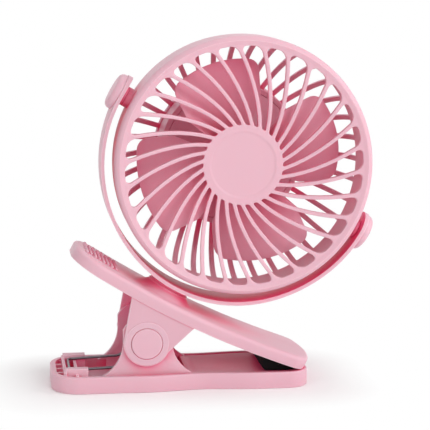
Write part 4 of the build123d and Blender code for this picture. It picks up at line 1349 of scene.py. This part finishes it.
@dataclass(frozen=True)
class TurnedPieces:
    """The clip's caps, the yoke's knobs, the collar, the spacers and the push button.

    Three numbers are a radius, where the piece starts and where it ends along its axis.
    """

    cap: tuple[float, float, float] = (8.6, 22.92, 24.9)
    lobe: tuple[float, float, float] = (12.2, 23.6, 24.35)
    lobe_bore: float = 8.8
    knob: tuple[float, float, float] = (10.4, 79.02, 83.2)
    pin_room: tuple[float, float] = (4.8, 81.2)
    washer: tuple[float, float, float] = (5.6, 74.996, 76.696)
    washer_bore: float = 2.7
    collar: tuple[float, float, float] = (11.5, 4.3, 5.9)
    collar_bore: float = 5.2
    button: tuple[float, float, float] = (5.5, -71.6, -67.95)
    button_face: tuple[float, float] = (4.1, -71.25)
    flange: tuple[float, float] = (6.7, -67.25)

    def beside_pivot(self, word: str, way: float) -> list[Turning]:
        """A pivot cap and the low ring round it, front or rear.

        Args:
            word: The side's name.
            way: The direction along Y.

        Returns:
            Both pieces.
        """
        here = frame_of(PIVOT_SPOT, Vector((1.0, 0.0, 0.0)), Vector((0.0, way, 0.0)))
        body, cap, ridge = "clip_lever", block(0.0, *self.cap), block(self.lobe_bore, *self.lobe)
        return [
            Turning(f"cap_{word}", body, (f"pivot_cap_{word}",), here, cap, (0, 0.15, 0.7, 0)),
            Turning(f"lobe_{word}", body, (), here, ridge, (0, 0, 0.25, 0.15), "pink_plastic"),
        ]

    def beside_head(self, word: str, way: float) -> list[Turning]:
        """A knob of the yoke and the spacer under it, left or right.

        Args:
            word: The side's name.
            way: The direction along the head's own X.

        Returns:
            Both pieces.
        """
        here = frame_of(HEAD_CENTRE, FORWARD, ALONG * way)
        room, floor = self.pin_room
        radius, foot, top = self.knob
        knob = (room, foot), (radius, foot), (radius, top), (0.0, top), (0.0, floor), (room, floor)
        ring, edges = block(self.washer_bore, *self.washer), (0.1, 0.2, 0.2, 0.1)
        cap, washer = (f"trunnion_cap_{word}",), (f"trunnion_washer_{word}",)
        return [
            Turning(f"knob_{word}", "yoke_arm", cap, here, knob, (0, 0.2, 3.15, 0, 0, 0)),
            Turning(f"spacer_{word}", "head", washer, here, ring, edges, "pink_plastic"),
        ]

    def pieces(self) -> list[Turning]:
        """Lists every turned piece with its place.

        Returns:
            The pieces, ready to be built.
        """
        listed = [*self.beside_pivot("front", -1.0), *self.beside_pivot("rear", 1.0)]
        listed += [*self.beside_head("left", -1.0), *self.beside_head("right", 1.0)]
        ring, edges = block(self.collar_bore, *self.collar), (0.1, 0.2, 0.55, 0.2)
        body, nodes = "clip_lever", ("swivel_collar",)
        listed.append(Turning("collar", body, nodes, SWIVEL_FRAME, ring, edges, "pink_plastic"))
        (radius, top, foot), (face, dip), (edge, seat) = self.button, self.button_face, self.flange
        press = (0.0, dip), (face, top), (radius, top), (radius, foot)
        press += (edge, foot), (edge, seat), (0.0, seat)
        edges = (0, 0.8, 0.5, 0, 0.15, 0.15, 0)
        listed.append(Turning("button", "button", ("speed_button",), HEAD_FRAME, press, edges))
        return listed

    def build(self, dresser: Dresser) -> None:
        """Makes all of them."""
        for piece in self.pieces():
            piece.build(dresser)


# ---------------------------------------------------------------------------- grip beads
@dataclass(frozen=True)
class GripBeads:
    """The staggered beads under the thumb, on the lever's bowed top."""

    radius: float = 1.0
    rise: float = 1.3
    foot: float = 0.4
    pitch: float = 3.2
    row_pitch: float = 2.7
    rows: int = 8
    columns: int = 9
    first_row: float = -54.7
    sides: int = 14

    def bead(self) -> bpy.types.Mesh:
        """One round bead, standing on nought.

        Returns:
            The bead's mesh.
        """
        corners = block(0.0, self.radius, -self.foot, self.rise)
        bm = lathe(rounded(corners, (0, 0, self.radius * 0.98, 0), 4, 0.98), self.sides)
        return from_bmesh("bead", bm)

    def rows_of(self, start: int, columns: int, finish: bpy.types.Material) -> bpy.types.Mesh:
        """Every second row of beads, grown by a Geometry Nodes tree.

        Args:
            start: The first row's number.
            columns: Beads in a row.
            finish: The material.

        Returns:
            The rows' mesh, in the lever's frame.
        """
        name = f"grip_rows_{start}"
        sizes = {
            "Rows": (self.rows + 1 - start) // 2,
            "Columns": columns,
            "Bead pitch": self.pitch * MM,
            "Row pitch": 2.0 * self.row_pitch * MM,
            "First row": (self.first_row + start * self.row_pitch) * MM,
            "Arch": LEVER_ARCH * MM,
        }
        growth = Growth(name, sizes)
        wide = growth.size("Columns")
        copies, number = growth.index_copies(growth.size("Stock"), growth.size("Rows") * wide)
        row = ((number + 0.5) / wide).floor()
        across = (number - row * wide - (wide - 1.0) / 2.0) * growth.size("Bead pitch")
        along = growth.size("First row") + row * growth.size("Row pitch")
        bow = growth.size("Arch")
        place = growth.point(along, across, bow - (bow * bow - along * along).root())
        inputs = {"Instances": copies, "Translation": place, "Local Space": False}
        placed = growth.node("GeometryNodeTranslateInstances", inputs=inputs)
        return growth.grow(name, placed, finish, self.bead())

    def build(self, dresser: Dresser) -> None:
        """Grows the rows and seats them as one piece.

        Args:
            dresser: Gives the finish.
        """
        bm = bmesh.new()
        for start, columns in ((0, self.columns), (1, self.columns - 1)):
            bm.from_mesh(self.rows_of(start, columns, dresser.made["pink_plastic"]))
        mesh = from_bmesh("grip_beads", bm, LEVER_FRAME)
        dresser.fit(to_object("grip_beads", mesh, 50.0), "clip_lever", "pink_plastic")


# ---------------------------------------------------------------------------- softened mouldings
@dataclass(frozen=True)
class Softening:
    """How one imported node's edges are broken: the edge's width and the least corner angle."""

    node: str
    body: str
    edge: float
    finish: str = ""
    corner: float = 38.0
    weld: float = 2e-6
    flat: float = 1.0

    def merged(self, name: str) -> bpy.types.Mesh:
        """A copy of the node's mesh with its flat faces merged.

        Args:
            name: The copy's name.

        Returns:
            The copy.
        """
        bm = bmesh.new()
        bm.from_mesh(frame["nodes"][self.node].data)
        bmesh.ops.remove_doubles(bm, verts=bm.verts, dist=self.weld)
        flat, kept = math.radians(self.flat), {"NORMAL"}
        bmesh.ops.dissolve_limit(bm, angle_limit=flat, verts=bm.verts, edges=bm.edges, delimit=kept)
        return to_mesh(name, bm)

    def build(self, dresser: Dresser) -> None:
        """Makes a copy of the node with soft edges, and lets it stand for the node.

        Args:
            dresser: Gives the finish.
        """
        name = self.node + "_soft"
        piece = to_object(name, self.merged(name), 40.0)
        bevel = piece.modifiers.new("soft_edges", "BEVEL")
        bevel.width = self.edge * MM
        bevel.segments = 2
        bevel.limit_method = "ANGLE"
        bevel.angle_limit = math.radians(self.corner)
        bevel.use_clamp_overlap = True
        bevel.miter_outer = "MITER_ARC"
        soft = to_object(name, evaluated(piece), 30.0)
        dresser.fit(soft, self.body, dresser.slots[self.node], [self.node])
        if self.finish:
            dresser.dress(soft, self.finish)


SOFTENED = (
    Softening("lower_jaw", "clip_base", 0.35),
    Softening("upper_jaw", "clip_lever", 0.3),
    Softening("jaw_pad", "clip_lever", 0.4),
    Softening("yoke", "yoke_arm", 0.4),
    Softening("impeller", "fan_rotor", 0.45, "pink_blades"),
    Softening("rear_cover", "head", 0.25),
    Softening("cover_screws", "head", 0.12),
    Softening("motor_bracket", "head", 0.3),
    Softening("motor_can", "head", 0.5),
    Softening("motor_end_cap", "head", 0.25),
    Softening("battery_cell", "head", 0.5),
    Softening("pivot_pin", "clip_lever", 0.25),
    Softening("swivel_screw", "yoke_arm", 0.15),
    Softening("swivel_washer", "yoke_arm", 0.1),
)


# ---------------------------------------------------------------------------- studio
@dataclass(frozen=True)
class Lamp:
    """One soft square lamp, in metres and watts."""

    name: str
    place: tuple[float, float, float]
    side: float
    watts: float

    def hang(self, aim: Vector, share: float) -> None:
        """Hangs the lamp.

        Args:
            aim: The point it faces.
            share: How much of its power it gives.
        """
        data = bpy.data.lights.new(self.name, "AREA")
        data.shape = "SQUARE"
        data.size = self.side
        data.energy = self.watts * share
        lamp = linked(self.name, data)
        lamp.location = self.place
        lamp.rotation_mode = "QUATERNION"
        lamp.rotation_quaternion = (aim - Vector(self.place)).to_track_quat("-Z", "Y")


@dataclass
class Studio:
    """Pale floor, white surroundings, soft lamps and the photograph's camera."""

    eye: tuple[float, float, float] = (-103.5, -882.4, 242.2)
    turn: float = 8.02
    pitch: float = -9.44
    roll: float = 0.38
    focal_px: float = 1610.2
    middle: tuple[float, float] = (214.8, 215.0)
    size_px: float = 430.0
    sensor: float = 36.0
    sky: float = 0.34
    floor_lift: float = 0.05
    floor_side: float = 4.0
    floor_drop: float = 0.0002
    footprint: tuple[float, float, float] = (0.069, 0.024, 0.0)
    shadow_run: tuple[float, float] = (0.003, 0.04)
    lamp_share: float = 0.96
    lamp_aim: tuple[float, float, float] = (0.02, 0.0, 0.1)
    lamps: tuple[Lamp, ...] = (
        Lamp("key", (0.5, -1.0, 0.5), 0.6, 4.9),
        Lamp("fill", (-0.85, -0.85, 0.4), 0.8, 3.8),
        Lamp("side", (1.0, -0.25, 0.6), 0.6, 5.5),
        Lamp("above", (-0.1, 0.25, 1.1), 0.8, 3.2),
    )

    def camera(self) -> None:
        """Places the camera."""
        data = bpy.data.cameras.new("camera")
        data.sensor_width = self.sensor
        data.sensor_fit = "HORIZONTAL"
        data.lens = self.sensor * self.focal_px / self.size_px
        data.shift_x = (self.size_px / 2 - self.middle[0]) / self.size_px
        data.shift_y = (self.middle[1] - self.size_px / 2) / self.size_px
        data.clip_start, data.clip_end = 0.05, 20.0
        yaw, pitch, roll = (math.radians(a) for a in (self.turn, self.pitch, self.roll))
        level = Vector((math.sin(yaw), math.cos(yaw), 0.0)) * math.cos(pitch)
        ahead = level + Vector((0.0, 0.0, math.sin(pitch)))
        right = Vector((math.cos(yaw), -math.sin(yaw), 0.0))
        above = right.cross(ahead)
        rolled = right * math.cos(roll) + above * math.sin(roll)
        camera = linked("camera", data)
        camera.matrix_world = frame_of(Vector(self.eye) * MM, rolled, -ahead)
        bpy.context.scene.camera = camera

    def floor(self) -> None:
        """Lays the pale floor, which shows white to the camera but keeps its shadows."""
        bm = bmesh.new()
        bmesh.ops.create_grid(bm, x_segments=1, y_segments=1, size=self.floor_side)
        floor = linked("floor", to_mesh("floor", bm))
        floor.location.z = -self.floor_drop
        floor.data.materials.append(self.paper())

    def seen(self, graph: Graph) -> Value:
        """One for rays that show the surroundings: the camera's, mirrored and clear ones.

        Args:
            graph: The tree that gets the nodes.

        Returns:
            One where the surroundings show, else nought.
        """
        rays = ("Is Camera Ray", "Is Glossy Ray", "Is Transmission Ray")
        camera, mirrored, clear = (graph.node("ShaderNodeLightPath", output=ray) for ray in rays)
        return (camera + mirrored + clear).clamp()

    def paper(self) -> bpy.types.Material:
        """Pale paper that keeps the object's shadow near it and runs out to plain white.

        Returns:
            The finished material.
        """
        shader = Shader("floor_paper")
        pale, paler = (0.9, 0.9, 0.9, 1.0), (0.93, 0.93, 0.93, 1.0)
        colour = shader.mix_colour(shader.noise(60.0) * 0.1, paler, pale)
        inputs = {"Base Color": colour, "Roughness": 0.9}
        sheet = shader.node("ShaderNodeBsdfPrincipled", inputs=inputs)
        lift = shader.node("ShaderNodeEmission", inputs={"Strength": self.floor_lift})
        lifted = shader.node("ShaderNodeAddShader", inputs={0: sheet, 1: lift})
        white = shader.node("ShaderNodeEmission", inputs={"Strength": 1.0})
        beside = shader.vector("ABSOLUTE", shader.place())
        outside = shader.vector("SUBTRACT", beside, self.footprint)
        clear_of = shader.vector("MAXIMUM", outside, (0.0, 0.0, 0.0))
        start, run = self.shadow_run
        far = ((shader.vector("LENGTH", clear_of, output="Value") - start) / run).clamp()
        shown = self.blend(shader, far, lifted, white)
        mixed = self.blend(shader, self.seen(shader), sheet, shown)
        shader.end("ShaderNodeOutputMaterial", mixed)
        return shader.material

    def blend(self, graph: Graph, share: Value, first: Value, second: Value) -> Value:
        """Mixes two shaders by a share."""
        return graph.node("ShaderNodeMixShader", inputs={0: share, 1: first, 2: second})

    def world(self) -> None:
        """White surroundings for the camera and for reflections, softer as a light."""
        world = bpy.data.worlds.new("surroundings")
        world.use_nodes = True
        world.node_tree.nodes.clear()
        graph = Graph(world.node_tree)
        warm, plain = {"Color": (1.0, 0.985, 0.98, 1.0)}, {"Color": (1.0, 1.0, 1.0, 1.0)}
        light = graph.node("ShaderNodeBackground", inputs={**warm, "Strength": self.sky})
        white = graph.node("ShaderNodeBackground", inputs={**plain, "Strength": 1.0})
        graph.end("ShaderNodeOutputWorld", self.blend(graph, self.seen(graph), light, white))
        bpy.context.scene.world = world

    def build(self) -> None:
        """Sets up everything round the object."""
        self.camera()
        self.floor()
        self.world()
        for lamp in self.lamps:
            lamp.hang(Vector(self.lamp_aim), self.lamp_share)
        bpy.context.scene.view_settings.view_transform = "Standard"


def main() -> None:
    """Builds the studio and every sub-assembly in turn."""
    logging.basicConfig(level=logging.INFO, format="%(name)s: %(message)s")
    Studio().build()
    dresser = Dresser()
    dresser.dress_nodes()
    TorsionSpring().build(dresser)
    FanHead().build(dresser)
    TurnedPieces().build(dresser)
    GripBeads().build(dresser)
    for moulding in SOFTENED:
        moulding.build(dresser)


if __name__ == "__main__":
    main()
